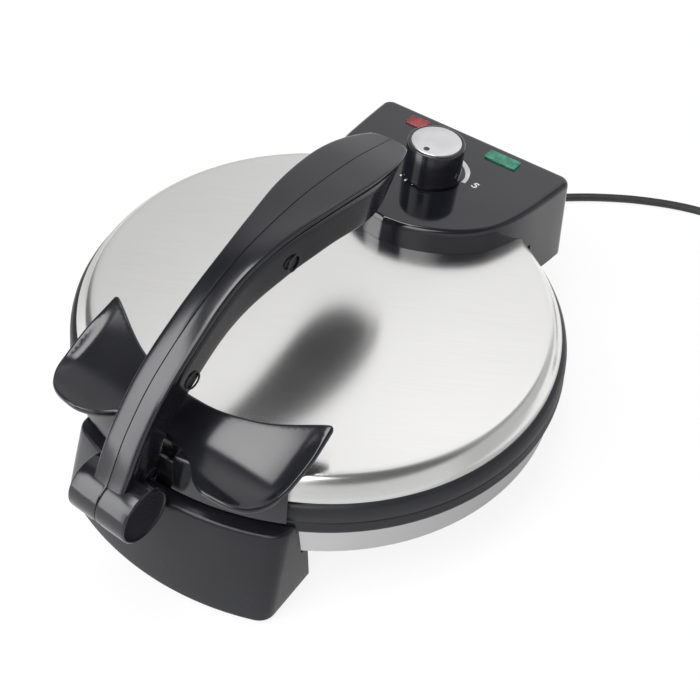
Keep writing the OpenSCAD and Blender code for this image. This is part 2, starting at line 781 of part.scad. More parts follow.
module control_housing() {
    z0 = foot_h + housing_low;
    panel_under = panel_z - housing_wall;
    color(gloss_black) from_pan() difference() {
        union() {
            difference() {
                intersection() {
                    housing_block(0, z0);
                    translate([-100, 0, z0]) cube([200, rear_reach, 100]);
                }
                intersection() {
                    housing_block(housing_wall, z0 - 10);
                    translate([-100, 0, 0]) cube([200, rear_reach - housing_wall, 200]);
                }
            }
            for (p = housing_screw_places) post(p, boss_r, shoulder_z, panel_under + 0.5);
            translate([0, knob_y, panel_under - 1]) cylinder(r = 9, h = 1.5);
        }
        lid_room(fit_gap);
        cylinder(r = ring_r + 2.7, h = upper_ring_z + 1);
        cylinder(r = upper_ring_r + 0.6, h = upper_ring_top + 0.01);
        translate([-knuckle_x - 18, 100, 0])
            cube([2 * knuckle_x + 36, 100, hinge_z - 2.5]);
        post([0, knob_y], shaft_r + 1.2, panel_under - 3, panel_z + 1);
        both_sides() upright(panel_under - 1, panel_z + 1) lens_shape(lens_x, fit_gap);
        for (p = housing_screw_places)
            post(p, screw_r + fit_gap, shoulder_z - 3, panel_under - 1);
    }
}

module housing_screws() {
    color(steel) from_pan() for (p = housing_screw_places)
        screw_up(p, shoulder_z - lid_wall - 0.05, panel_z - housing_wall - 3);
}

module lens(x) {
    difference() {
        union() {
            upright(panel_z - housing_wall - 1.5, panel_z + 0.5) lens_shape(x, 0);
            upright(panel_z - housing_wall - 1.5, panel_z - housing_wall - 0.05)
                lens_shape(x, 1.5);
        }
        upright(panel_z - housing_wall - 2, panel_z - 1) lens_shape(x, -1.4);
    }
}

module red_lens() { color([0.75, 0.05, 0.05]) from_pan() lens(-lens_x); }

module green_lens() { color([0.1, 0.6, 0.3]) from_pan() lens(lens_x); }

// Neon lamps that stand under the lenses on a strip
module indicator_lamps() {
    z1 = panel_z - housing_wall - 1.6;
    color([0.9, 0.7, 0.5]) from_pan() {
        for (x = [-lens_x, lens_x]) {
            translate([x - 8, lens_y - 3, z1 - 3]) cube([16, 6, 2.9]);
            translate([x - 6, lens_y, z1 + 0.6]) rotate([0, 90, 0]) cylinder(r = 1.6, h = 12);
        }
    }
}

// Steel strip on the upper ring with four ears round the rear bracket's knuckles
module hinge_plate() {
    w = knuckle_x + ear_out;
    z0 = upper_ring_z + 0.6;
    z1 = upper_ring_top + 2;
    y0 = hinge_flange_y;
    y1 = y0 + hinge_plate_t;
    color(dark_steel) from_pan() difference() {
        union() {
            translate([-w, y0, z0]) cube([2 * w, hinge_plate_t, z1 - z0]);
            both_sides() for (x = [knuckle_x - ear_out, knuckle_x + ear_in])
                across(x, x + ear_out - ear_in) union() {
                    translate([hinge_y, hinge_z]) circle(r = knuckle_r);
                    polygon([
                        [y0, z0], [y0, z1], [y1 + 2, z1],
                        [hinge_y + knuckle_r * 0.8, hinge_z + knuckle_r * 0.6],
                        [hinge_y, hinge_z], [hinge_y - knuckle_r * 0.8, hinge_z]
                    ]);
                }
        }
        cross_pin(hinge_y, hinge_z, hinge_pin_r + 0.02, -w - 1, w + 1);
        for (x = [-12, 12]) translate([x, y0 - 1, upper_ring_z + 6])
            rotate([-90, 0, 0]) cylinder(r = screw_r + fit_gap, h = hinge_plate_t + 2);
    }
}

module hinge_pins() {
    color(steel) from_pan() both_sides()
        cross_pin(hinge_y, hinge_z, hinge_pin_r, knuckle_x - ear_out - 1,
            knuckle_x + ear_out + 1);
}

module hinge_screws() {
    y0 = hinge_flange_y + hinge_plate_t + 0.02;
    color(steel) from_pan() for (x = [-12, 12])
        translate([x, y0, upper_ring_z + 6]) rotate([90, 0, 0]) {
            translate([0, 0, -2]) cylinder(r = screw_head_r, h = 2);
            cylinder(r = screw_r, h = 9);
        }
}

// Round thermostat that is clamped to the plate, with a bush for its shaft
module thermostat_body() {
    z0 = upper_plate_top + 0.05;
    color([0.8, 0.79, 0.76]) from_pan() difference() {
        union() {
            post([0, knob_y], 11, z0, z0 + 15);
            translate([-14, knob_y - 3, z0 + 4]) cube([28, 6, 8]);
            post([0, knob_y], shaft_r + 2.5, z0 + 14, z0 + 21);
        }
        post([0, knob_y], shaft_r + run_gap, z0 + 8, z0 + 22);
    }
}

module thermal_fuse() {
    z = upper_plate_top + 2.3;
    color(brass) from_pan() translate([-40, 50, z]) rotate([0, 90, 30]) {
        cylinder(r = 2.2, h = 12, center = true, $fn = 24);
        cylinder(r = 0.6, h = 30, center = true, $fn = 16);
    }
}

// Leads from the heater to the thermostat, and up to the lamps
module lid_wiring() {
    a = 12;
    pin = heater_r * [sin(a), cos(a)];
    pin_z = upper_plate_top + heater_tube_r + heater_pin + wire_gap;
    side = upper_plate_top + 8;
    lamp_z = panel_z - housing_wall - 6;
    color(wire_white) from_pan() for (s = [-1, 1]) {
        wire([[s * pin[0], pin[1], pin_z], [s * pin[0], pin[1] + 1, pin_z + 1.6],
            [s * 20, 90, pin_z + 2], [s * 22, 98, side + 1],
            [s * 20, knob_y - 2, side], [s * (14 + wire_gap), knob_y - 1, side]], 1);
        wire([[s * (14 + wire_gap), knob_y + 1.5, side + 2.8],
            [s * 17, knob_y + 2, side + 4], [s * 18, 116, side + 11],
            [s * 20, 128, side + 12], [s * (lens_x - 2), 139, lamp_z - 6],
            [s * lens_x, lens_y - 2, lamp_z - 3], [s * lens_x, lens_y - 1, lamp_z - 1],
            [s * lens_x, lens_y - 1, lamp_z + 1.4 - wire_gap]], 1);
    }
}

// Knob

module thermostat_shaft() {
    z0 = upper_plate_top + 8.2;
    color(brass) from_pan() post([0, knob_y], shaft_r, z0, panel_z + 14);
}

module knob() {
    z0 = panel_z + knob_gap;
    z1 = z0 + knob_h;
    top_r = knob_r - knob_draft;
    color(gloss_black) from_pan() translate([0, knob_y, 0]) difference() {
        rotate_extrude($fn = 96) polygon([
            [0, z0], [knob_r - 0.6, z0], [knob_r, z0 + 0.8], [top_r, z1 - 1],
            [top_r - 0.9, z1], [cap_r + 0.1, z1], [cap_r + 0.1, z1 - 1.2], [0, z1 - 1.2]
        ]);
        translate([0, 0, z0 - 1]) cylinder(r = shaft_r + 0.02, h = 14 - knob_gap + 1.2);
    }
}

module knob_cap() {
    z1 = panel_z + knob_gap + knob_h;
    color([0.82, 0.82, 0.83]) from_pan() translate([0, knob_y, 0])
        rotate_extrude($fn = 96) polygon([
            [0, z1 - 1.18], [cap_r, z1 - 1.18], [cap_r, z1 - 0.1], [cap_r - 0.5, z1 + 0.3],
            [0, z1 + 0.3]
        ]);
}

// Lever

// Upper edge of the lever as depth and height, from its barrel to its tip
lever_top = spline([[-164.5, 73.3], [-148, 98.2], [-124, 120.6], [-81, lever_crest - 9.2],
    [-33, lever_crest - 0.2], [14, lever_crest - 1.6], [52, lever_crest - 8.2]], 5);
// Lower edge of the lever, from its tip back to its barrel
lever_under = spline([[37.5, 126.5], [18, 123.8], [-20, 127.2], [-56, 121.8],
    [-91, 113.8], [-118, 97.6], [-133, 83], [-137, 70], [-147, 60]], 4);
// Half width of the lever along its depth
lever_plan = spline([[-180, neck_w], [-125, neck_w], [-82, neck_w - 0.3],
    [-52, (neck_w + grip_w) / 2 - 2.2], [-24, grip_w - 2.6], [3, grip_w],
    [32, grip_w - 3.2], [53, tip_w]], 4);

lever_outline = concat([[-pivot_y, pivot_z]], lever_top, lever_under);

// Outline of the lever's side without the barrel, drawn in by inset
module lever_side(inset) {
    polygon(grown(lever_outline, -inset));
}

// Band of the lever's side along its upper edge
module lever_band(depth) {
    under = grown(lever_outline, -depth);
    polygon(concat(
        [[-190, 60]], [for (p = lever_top) p + [0, 0.5]], [[60, 130]],
        [for (i = [len(lever_top):-1:1]) under[i]]));
}

// Outline of the lever in plan, drawn in by inset
module lever_width(inset) {
    half = [for (p = lever_plan) [p[1] - inset, p[0]]];
    upright(40, 200) polygon(concat(half, mirrored(half)));
}

// Lever with its strip, shadow groove and side walls, and its cross barrel
module lever_block() {
    intersection() {
        across(-30, 30) intersection() {
            lever_side(0);
            lever_band(strip_t);
        }
        lever_width(0);
    }
    intersection() {
        across(-30, 30) lever_side(0);
        lever_width(groove_d);
    }
    intersection() {
        across(-30, 30) difference() {
            lever_side(0);
            lever_band(strip_t + groove_w);
        }
        lever_width(0.7);
    }
    cross_pin(-pivot_y, pivot_z, barrel_r, -barrel_l / 2, barrel_l / 2);
}

// Room inside the lever, with its bosses and the screws' cups left standing
module lever_room(screw_side) {
    difference() {
        union() {
            intersection() {
                across(-30, 30) lever_side(lever_wall);
                lever_width(groove_d + lever_wall);
            }
            cross_pin(-pivot_y, pivot_z, barrel_r - lever_wall,
                -barrel_l / 2 + lever_wall, barrel_l / 2 - lever_wall);
        }
        for (i = [0:2]) {
            p = lever_screw_places[i];
            cross_pin(p[0], p[1], lever_boss_r, -30, 30);
            if (screw_side) cross_pin(p[0], p[1], screw_head_r + 1.7,
                lever_head_x[i] - 1.5, 30);
        }
        both_sides() cross_pin(-pivot_y, pivot_z, pin_boss_r, cheek_x, barrel_l);
    }
}

// Right half; screw_side tells whether the screws' heads sit in it
module lever_half(screw_side) {
    slot_from = 360 - lever_swing - 20;
    slot_to = 360 + 20;
    difference() {
        lever_block();
        lever_room(screw_side);
        translate([-60, -250, 0]) cube([60 + 0.04, 400, 250]);
        across(-1, cheek_x) polygon(concat([[-pivot_y, pivot_z]],
            arc([-pivot_y, pivot_z], 2 * barrel_r, slot_from, slot_to, 20)));
        across(-1, cheek_x) translate([-pivot_y, pivot_z]) circle(r = barrel_r - lever_wall);
        cross_pin(-pivot_y, pivot_z, pivot_pin_r + 0.02, -1, barrel_l / 2 - 2);
        for (i = [0:2]) {
            p = lever_screw_places[i];
            cross_pin(p[0], p[1], screw_r + fit_gap, -1, screw_side ? 30 : 5);
            if (screw_side) cross_pin(p[0], p[1], screw_head_r + 0.5, lever_head_x[i], 30);
        }
    }
}

// Depth of each screw's seat in the right half, from the middle plane
lever_head_x = [9.2, 5.5, 5.5];

module lever_right_shell() { color(gloss_black) from_pan() lever_half(true); }

module lever_left_shell() {
    color(gloss_black) from_pan() mirror([1, 0, 0]) lever_half(false);
}

module lever_screws() {
    color(dark_steel) from_pan() for (i = [0:2]) {
        p = lever_screw_places[i];
        x = lever_head_x[i] + 0.02;
        cross_pin(p[0], p[1], screw_head_r, x, x + 1.8);
        cross_pin(p[0], p[1], screw_r, -4.5, x + 0.1);
    }
}

module pivot_pin() {
    color(steel) from_pan()
        cross_pin(-pivot_y, pivot_z, pivot_pin_r, -barrel_l / 2 + 2.2, barrel_l / 2 - 2.2);
}

// Cord

// Section of the flat cord with 8 or 6 corners, as width and height
function cord_section(sides) =
    let (w = cord_w / 2, h = cord_t / 2)
    sides == 8
        ? [[w, -0.4 * h], [w, 0.4 * h], [w - 0.6 * h, h], [0.6 * h - w, h],
            [-w, 0.4 * h], [-w, -0.4 * h], [0.6 * h - w, -h], [w - 0.6 * h, -h]]
        : [[w, 0], [w - 0.7 * h, h], [0.7 * h - w, h], [-w, 0],
            [0.7 * h - w, -h], [w - 0.7 * h, -h]];

coil_points = [for (k = [0:2 * coil_turns * coil_steps]) coil_point(k / coil_steps)];
coil_route = concat([coil_points[0] - [coil_lead, 0, 0]], coil_points,
    [coil_points[len(coil_points) - 1] + [coil_lead, 0, 0]]);

// Free space between the cord at two places of the coil
function cord_space(a, b) =
    let (d = b - a, side = max(0, norm([d[0], d[1]]) - cord_w + cord_t))
    norm([side, d[2]]) - cord_t;

coil_gap = min([for (i = [0:len(coil_points) - 1])
    for (j = [i + coil_steps / 2:len(coil_points) - 1])
        cord_space(coil_points[i], coil_points[j])]);
echo(str("Least gap of the coil to itself: ", coil_gap));

// Length of a route
function route_length(p) =
    len(p) < 2 ? 0 : [for (i = [1:len(p) - 1]) norm(p[i] - p[i - 1])] *
        [for (i = [1:len(p) - 1]) 1];
cord_length = route_length(spline(cord_points, 3)) + route_length(coil_route)
    + route_length(spline(tail_points, 3));
echo(str("Length of the cord: ", cord_length));

module cord_run() { color([0.05, 0.05, 0.05]) tube(spline(cord_points, 2), cord_section(8)); }

module cord_coil() { color([0.05, 0.05, 0.05]) tube(coil_route, cord_section(6)); }

module cord_tail() { color([0.05, 0.05, 0.05]) tube(spline(tail_points, 2), cord_section(8)); }

plug_at = [258.1, 324, 0.1];
plug_t = 11;
blade_y = 6.35;

// Flat moulded plug that lies on the worktop beside the coil
module plug_body() {
    half = spline([[0, 4.2], [6, 4.6], [12, 8], [17, 11], [28, 11.4], [31, 10.6]], 3);
    color([0.05, 0.05, 0.05]) translate(plug_at) difference() {
        upright(0, plug_t) polygon(concat(half,
            [for (p = reversed(half)) [p[0], -p[1]]]));
        for (s = [-1, 1]) translate([24, s * blade_y - 0.8, plug_t / 2 - 3.2])
            cube([10, 1.6, 6.4]);
    }
}

module plug_pins() {
    color(brass) translate(plug_at) for (s = [-1, 1])
        translate([24.1, s * blade_y - 0.75, plug_t / 2 - 3.15]) difference() {
            cube([23, 1.5, 6.3]);
            translate([19, -1, 3.15]) rotate([-90, 0, 0]) cylinder(r = 1.6, h = 4);
        }
}

base_pan();
lower_ring();
lower_plate();
lower_heater();
lower_heat_shield();
front_bracket();
lever_lug();
rear_bracket();
pan_screws();
rubber_feet();
terminal_block();
base_wiring();
strain_relief();
lid_shell();
upper_ring();
upper_plate();
upper_heater();
upper_heat_shield();
lid_handle();
handle_screws();
control_housing();
housing_screws();
hinge_plate();
hinge_pins();
hinge_screws();
thermostat_body();
red_lens();
green_lens();
indicator_lamps();
thermal_fuse();
lid_wiring();
thermostat_shaft();
knob();
knob_cap();
lever_left_shell();
lever_right_shell();
lever_screws();
pivot_pin();
cord_run();
cord_coil();
cord_tail();
plug_body();
plug_pins();
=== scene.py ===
import math

import bmesh
import bpy
import numpy as np
from mathutils import Matrix, Vector
from mathutils.geometry import delaunay_2d_cdt


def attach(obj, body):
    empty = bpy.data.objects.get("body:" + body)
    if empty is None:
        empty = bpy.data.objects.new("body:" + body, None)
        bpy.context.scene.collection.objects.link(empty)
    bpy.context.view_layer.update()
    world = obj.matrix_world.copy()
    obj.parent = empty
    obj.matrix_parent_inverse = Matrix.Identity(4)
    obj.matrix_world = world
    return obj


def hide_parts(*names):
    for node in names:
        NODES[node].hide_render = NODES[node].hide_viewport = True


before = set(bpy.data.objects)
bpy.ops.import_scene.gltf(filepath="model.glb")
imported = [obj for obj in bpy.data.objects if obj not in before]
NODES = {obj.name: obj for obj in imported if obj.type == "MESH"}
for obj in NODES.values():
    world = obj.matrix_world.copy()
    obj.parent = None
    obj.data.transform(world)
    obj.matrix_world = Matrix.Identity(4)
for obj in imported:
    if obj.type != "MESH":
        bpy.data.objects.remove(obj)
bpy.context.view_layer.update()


# The plates' axis stands 6.25 mm behind the middle of the object. Outlines below are in
# millimetres about that axis, with the height from the worktop.
PAN_Y = 6.25

# Camera

# It is fitted to the photo: its turn to the left, its tilt down and its roll in degrees,
# its place in metres, and its focal length in pixels of the photo's width.
CAMERA_TURN, CAMERA_TILT, CAMERA_ROLL = 30.46, 46.77, 6.22
CAMERA_PLACE = (0.2048, -0.30735, 0.4261)
FOCAL_LENGTH, PHOTO_WIDTH = 935.7, 700
SENSOR = 36


def make_camera():
    turn, tilt, roll = (math.radians(v) for v in (CAMERA_TURN, CAMERA_TILT, CAMERA_ROLL))
    right = Vector((math.cos(turn), math.sin(turn), 0))
    level = math.cos(tilt)
    look = Vector((-math.sin(turn) * level, math.cos(turn) * level, -math.sin(tilt)))
    up = right.cross(look)
    c, s = math.cos(roll), math.sin(roll)
    axes = Matrix((c * right + s * up, c * up - s * right, -look)).transposed()
    data = bpy.data.cameras.new("camera")
    data.sensor_width = SENSOR
    data.lens = SENSOR * FOCAL_LENGTH / PHOTO_WIDTH
    cam = bpy.data.objects.new("camera", data)
    bpy.context.scene.collection.objects.link(cam)
    cam.matrix_world = Matrix.Translation(CAMERA_PLACE) @ axes.to_4x4()
    bpy.context.scene.camera = cam


# Node trees

def set_inputs(node, **values):
    for key, value in values.items():
        node.inputs[key.replace("_", " ")].default_value = value


class Tree:
    """Short way to write a node tree. A source is a node and the name of its output."""

    def __init__(self, owner):
        owner.use_nodes = True
        self.tree = owner.node_tree
        self.tree.nodes.clear()
        self.place = None

    def add(self, kind, **inputs):
        node = self.tree.nodes.new("ShaderNode" + kind)
        set_inputs(node, **inputs)
        return node

    def join(self, source, node, into):
        self.tree.links.new(source[0].outputs[source[1]], node.inputs[into])

    def coords(self, output):
        if self.place is None:
            self.place = self.add("TexCoord")
        return self.place, output

    def axes(self, output):
        """The three axes of a place, by their names."""
        split = self.add("SeparateXYZ")
        self.join(self.coords(output), split, "Vector")
        return {axis: (split, axis) for axis in "XYZ"}

    def maths(self, operation, *terms):
        """Works out a value from terms that are each a number or a source."""
        node = self.add("Math")
        node.operation = operation
        for k, term in enumerate(terms):
            if isinstance(term, tuple):
                self.join(term, node, k)
            else:
                node.inputs[k].default_value = term
        return node, "Value"

    def ramp(self, source, lo, hi, at_lo, at_hi, kind="SMOOTHSTEP"):
        """Goes from at_lo to at_hi while the source goes from lo to hi."""
        node = self.add("MapRange", From_Min=lo, From_Max=hi, To_Min=at_lo, To_Max=at_hi)
        node.interpolation_type = kind
        self.join(source, node, "Value")
        return node, "Result"

    def fades(self, where, ramps):
        """Product of smooth ramps, each over one of the values named in where."""
        out = None
        for axis, *bounds in ramps:
            ramp = self.ramp(where[axis], *bounds)
            out = self.maths("MULTIPLY", out, ramp) if out else ramp
        return out

    def mixed(self, share, a, b):
        """Shader a, with a share of shader b."""
        mix = self.add("MixShader")
        for k, source in enumerate((share, a, b)):
            self.join(source, mix, k)
        return mix, "Shader"


class Material(Tree):
    """Tree of a material with one principled shader."""

    def __init__(self, name):
        self.mat = bpy.data.materials.new(name)
        super().__init__(self.mat)
        self.out = self.add("OutputMaterial")
        self.bsdf = self.add("BsdfPrincipled")
        self.join((self.bsdf, "BSDF"), self.out, "Surface")

    def noise(self, scale, detail, rough, place=None):
        node = self.add("TexNoise", Scale=scale, Detail=detail, Roughness=rough)
        self.join(place or self.coords("Object"), node, "Vector")
        return node, "Fac"

    def rough(self, source, ends, lo=0.3, hi=0.7):
        """Roughness that goes from the first to the last of ends with the source."""
        self.join(self.ramp(source, lo, hi, *ends, "LINEAR"), self.bsdf, "Roughness")

    def tint(self, source, stops):
        """Base colour from two stops, each a value of the source and its colour."""
        node = self.add("ValToRGB")
        for stop, (at, colour) in zip(node.color_ramp.elements, stops):
            stop.position = at
            stop.color = (*colour, 1)
        self.join(source, node, "Fac")
        self.join((node, "Color"), self.bsdf, "Base Color")

    def bump(self, source, strength, distance):
        node = self.add("Bump", Strength=strength, Distance=distance)
        self.join(source, node, "Height")
        self.join((node, "Normal"), self.bsdf, "Normal")


# Materials

# Direction of the brushing over the lid, from the x axis
BRUSH = math.radians(30)


def shade(tone, share):
    return tuple(v * share for v in tone)


def mottled(name, cloud, stops, rough, grain, bump, **inputs):
    """Material whose tone and gloss vary with a cloudy noise, under a fine grain. A noise is
    its scale, detail and roughness, and bump the grain's strength and height in metres."""
    n = Material(name)
    set_inputs(n.bsdf, **inputs)
    spots = n.noise(*cloud)
    n.tint(spots, stops)
    n.rough(spots, rough)
    n.bump(n.noise(*grain), *bump)
    return n.mat


def glossy_plastic(name, rough):
    """Moulded plastic with a faint orange peel and a little dust in its gloss."""
    dark = (0.0072, 0.0074, 0.0105)
    return mottled(name, (35, 4, 0.55), [(0.3, dark), (0.72, shade(dark, 1.5))], rough,
                   (900, 2, 0.4), (0.03, 0.0002), IOR=1.58)


def satin_plastic(name, dark, rough, ior):
    """Moulded plastic with a fine spark-eroded grain."""
    return mottled(name, (45, 3, 0.5), [(0.3, dark), (0.75, shade(dark, 1.2))], rough,
                   (4200, 2, 0.5), (0.05, 0.00005), IOR=ior)


def plain_metal(name, tone, rough, scale=220):
    return mottled(name, (scale, 4, 0.6), [(0.3, shade(tone, 0.88)), (0.7, tone)], rough,
                   (1800, 2, 0.5), (0.05, 0.00008), Metallic=1.0)


def rubber(name, dark, rough):
    return mottled(name, (120, 4, 0.6), [(0.3, dark), (0.75, shade(dark, 1.7))], rough,
                   (1500, 3, 0.6), (0.1, 0.0001), IOR=1.5)


def dull(name, tone, rough=(0.45, 0.6)):
    return mottled(name, (150, 4, 0.55), [(0.3, shade(tone, 0.85)), (0.7, tone)], rough,
                   (1200, 2, 0.5), (0.06, 0.0001))


def lens_plastic(name, deep, light):
    """Tinted clear plastic with uneven depth that catches the light."""
    return mottled(name, (190, 2, 0.4), [(0.38, deep), (0.6, light)], (0.08, 0.18),
                   (300, 1, 0.3), (0.12, 0.0005), IOR=1.49, Transmission_Weight=0.45)


def brushed_steel(name, tone, rough, blur, around=False):
    """Stainless steel with fine brushing: straight over the lid, or round the pan."""
    n = Material(name)
    set_inputs(n.bsdf, Metallic=1.0, Anisotropic=blur)
    tangent = n.add("Tangent")
    mapping = n.add("Mapping")
    n.join(n.coords("Object"), mapping, "Vector")
    if around:
        set_inputs(mapping, Scale=(0.02, 0.02, 1.0))
        lines = n.noise(900, 3, 0.6, (mapping, "Vector"))
        tangent.direction_type, tangent.axis = "RADIAL", "Z"
    else:
        set_inputs(mapping, Rotation=(0, 0, -BRUSH))
        stretch = n.add("VectorMath")
        stretch.operation = "MULTIPLY"
        stretch.inputs[1].default_value = (0.015, 1.0, 0.3)
        n.join((mapping, "Vector"), stretch, 0)
        lines = n.noise(2300, 3, 0.6, (stretch, "Vector"))
        tangent.direction_type, tangent.uv_map = "UV_MAP", "brush"
    n.tint(lines, [(0.25, shade(tone, 0.97)), (0.75, shade(tone, 1.025))])
    streaks = n.maths("MULTIPLY_ADD", lines, 0.45, n.noise(12, 3, 0.5))
    n.rough(streaks, rough, 0.5, 0.95)
    n.bump(lines, 0.012, 0.00004)
    n.join((tangent, "Tangent"), n.bsdf, "Tangent")
    return n.mat


def brush_map(obj):
    """Map whose u runs across the brushing of the lid, the way its gloss is blurred."""
    mesh = obj.data
    layer = mesh.uv_layers.new(name="brush")
    c, s = math.cos(BRUSH), math.sin(BRUSH)
    for loop in mesh.loops:
        v = mesh.vertices[loop.vertex_index].co
        layer.data[loop.index].uv = (4 * (c * v.y - s * v.x + v.z), 4 * (c * v.x + s * v.y))


MAT = {}


def make_materials():
    MAT["gloss"] = glossy_plastic("gloss_black", (0.13, 0.18))
    MAT["panel"] = glossy_plastic("panel_black", (0.07, 0.11))
    MAT["satin"] = satin_plastic("satin_black", (0.011, 0.0113, 0.0145), (0.34, 0.42), 1.48)
    MAT["bracket"] = satin_plastic("bracket_black", (0.0105, 0.0107, 0.014), (0.24, 0.28), 1.43)
    MAT["steel"] = brushed_steel("lid_steel", (0.78, 0.775, 0.77), (0.17, 0.21), 0.6)
    MAT["pan"] = brushed_steel("pan_steel", (0.66, 0.66, 0.665), (0.3, 0.38), 0.4, True)
    MAT["zinc"] = plain_metal("zinc_steel", (0.56, 0.56, 0.58), (0.28, 0.42))
    MAT["screw"] = plain_metal("dark_screw", (0.1, 0.1, 0.105), (0.35, 0.5))
    MAT["plate"] = plain_metal("coated_plate", (0.16, 0.16, 0.165), (0.4, 0.5), 500)
    MAT["sheath"] = plain_metal("heater_sheath", (0.4, 0.38, 0.36), (0.4, 0.55))
    MAT["sheet"] = plain_metal("bare_sheet", (0.74, 0.74, 0.75), (0.3, 0.4))
    MAT["cap"] = plain_metal("silver_cap", (0.75, 0.74, 0.76), (0.34, 0.38), 90)
    MAT["brass"] = plain_metal("brass", (0.78, 0.6, 0.3), (0.2, 0.32))
    MAT["ceramic"] = dull("ceramic", (0.8, 0.78, 0.74))
    MAT["sleeve"] = dull("wire_sleeve", (0.78, 0.76, 0.7))
    MAT["print"] = dull("print_white", (0.86, 0.86, 0.87), (0.4, 0.5))
    MAT["lamp"] = lens_plastic("lamp_glass", (0.7, 0.45, 0.25), (0.95, 0.8, 0.6))
    MAT["red"] = lens_plastic("red_lens", (0.26, 0.008, 0.013), (0.49, 0.035, 0.043))
    MAT["green"] = lens_plastic("green_lens", (0.012, 0.26, 0.14), (0.05, 0.46, 0.27))
    MAT["foot"] = rubber("foot_rubber", (0.02, 0.02, 0.02), (0.6, 0.75))
    MAT["cord"] = rubber("cord_rubber", (0.012, 0.012, 0.012), (0.42, 0.58))


CAD_LOOKS = {
    "base_pan": "pan", "lower_ring": "satin", "upper_ring": "satin",
    "front_bracket": "bracket", "rear_bracket": "bracket",
    "lever_lug": "zinc", "pan_screws": "zinc", "handle_screws": "zinc",
    "housing_screws": "zinc", "hinge_plate": "zinc", "hinge_pins": "zinc",
    "hinge_screws": "zinc", "lever_screws": "screw", "pivot_pin": "zinc",
    "lower_plate": "plate", "upper_plate": "plate",
    "lower_heater": "sheath", "upper_heater": "sheath",
    "lower_heat_shield": "sheet", "upper_heat_shield": "sheet",
    "rubber_feet": "foot", "terminal_block": "ceramic", "thermostat_body": "ceramic",
    "base_wiring": "sleeve", "lid_wiring": "sleeve", "thermal_fuse": "brass",
    "thermostat_shaft": "brass", "plug_pins": "brass", "indicator_lamps": "lamp",
    "strain_relief": "cord", "plug_body": "cord", "lid_shell": "pan",
    "lid_handle": "gloss", "control_housing": "gloss", "knob": "gloss",
    "knob_cap": "cap", "red_lens": "red", "green_lens": "green",
    "lever_left_shell": "gloss", "lever_right_shell": "gloss",
    "cord_run": "cord", "cord_coil": "cord", "cord_tail": "cord",
}


def dress_cad():
    for name, look in CAD_LOOKS.items():
        obj = NODES[name]
        obj.data.materials.clear()
        obj.data.materials.append(MAT[look])


# Mesh helpers

def closed_mesh(name, verts, faces, shift):
    """Mesh with its faces outward, from points in millimetres that are shifted in y."""
    points = (np.array(verts, float) + [0, shift, 0]) / 1000
    mesh = bpy.data.meshes.new(name)
    mesh.from_pydata(points.tolist(), [], [list(map(int, f)) for f in faces])
    mesh.validate()
    bm = bmesh.new()
    bm.from_mesh(mesh)
    bmesh.ops.remove_doubles(bm, verts=bm.verts, dist=1e-7)
    bmesh.ops.recalc_face_normals(bm, faces=bm.faces)
    bm.to_mesh(mesh)
    bm.free()
    return mesh


def put(name, verts, faces, body, look, replaces, sharp=180, shift=PAN_Y):
    """Adds a piece from points in millimetres about the plates' axis."""
    mesh = closed_mesh(name, verts, faces, shift)
    obj = bpy.data.objects.new(name, mesh)
    bpy.context.scene.collection.objects.link(obj)
    mesh.materials.append(MAT[look])
    soften(mesh, sharp)
    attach(obj, body)
    if replaces:
        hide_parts(*replaces)
    return obj


def soften(mesh, angle):
    """Smooth shading, with the edges sharper than angle left crisp."""
    mesh.polygons.foreach_set("use_smooth", [True] * len(mesh.polygons))
    if angle < 180:
        bm = bmesh.new()
        bm.from_mesh(mesh)
        limit = math.radians(angle)
        for e in bm.edges:
            e.smooth = len(e.link_faces) == 2 and e.calc_face_angle(0) < limit
        bm.to_mesh(mesh)
        bm.free()
    mesh.update()


def cut(obj, tools, sharp):
    """Takes closed cutters, each its points in millimetres and its faces, out of a piece."""
    look = obj.data.materials[0]
    for verts, faces in tools:
        mesh = closed_mesh("cutter", verts, faces, PAN_Y)
        tool = bpy.data.objects.new("cutter", mesh)
        bpy.context.scene.collection.objects.link(tool)
        mod = obj.modifiers.new("cut", "BOOLEAN")
        mod.object = tool
        mod.operation = "DIFFERENCE"
        mod.solver = "EXACT"
        bpy.context.view_layer.update()
        graph = bpy.context.evaluated_depsgraph_get()
        new = bpy.data.meshes.new_from_object(obj.evaluated_get(graph))
        obj.modifiers.clear()
        old = obj.data
        obj.data = new
        new.materials.clear()
        new.materials.append(look)
        new.polygons.foreach_set("material_index", [0] * len(new.polygons))
        bpy.data.objects.remove(tool)
        bpy.data.meshes.remove(mesh)
        bpy.data.meshes.remove(old)
    soften(obj.data, sharp)


def grid_faces(rows, cols, wrap_rows=False, wrap_cols=False):
    """Faces between rows of points, which may join up either way."""
    out = []
    for i in range(rows if wrap_rows else rows - 1):
        for j in range(cols if wrap_cols else cols - 1):
            here, ahead = i * cols, (i + 1) % rows * cols
            across = (j + 1) % cols
            out.append((here + j, here + across, ahead + across, ahead + j))
    return out


def capped(rows, n):
    """Faces of a stack of closed loops of n points, with both of its ends closed."""
    ends = [list(range(n)), list(range((rows - 1) * n, rows * n))]
    return grid_faces(rows, n, wrap_cols=True) + ends


def prism(outline, z0, z1):
    """Upright block over an outline in plan."""
    return [(x, y, z) for z in (z0, z1) for x, y in outline], capped(2, len(outline))


def circle(n):
    """Angles of n even steps once round."""
    return [2 * math.pi * k / n for k in range(n)]


def pin(y, z, r, x0, x1, n):
    """Round bar along x."""
    verts = [(x, y + r * math.cos(a), z + r * math.sin(a)) for x in (x0, x1) for a in circle(n)]
    return verts, capped(2, n)


def turned(profile, steps, loop=False):
    """Line of radius and height turned right round: a closed loop, or from axis to axis."""
    verts = [(r * math.cos(a), r * math.sin(a), z) for a in circle(steps) for r, z in profile]
    faces = grid_faces(steps, len(profile), wrap_rows=True, wrap_cols=loop)
    return np.array(verts), faces


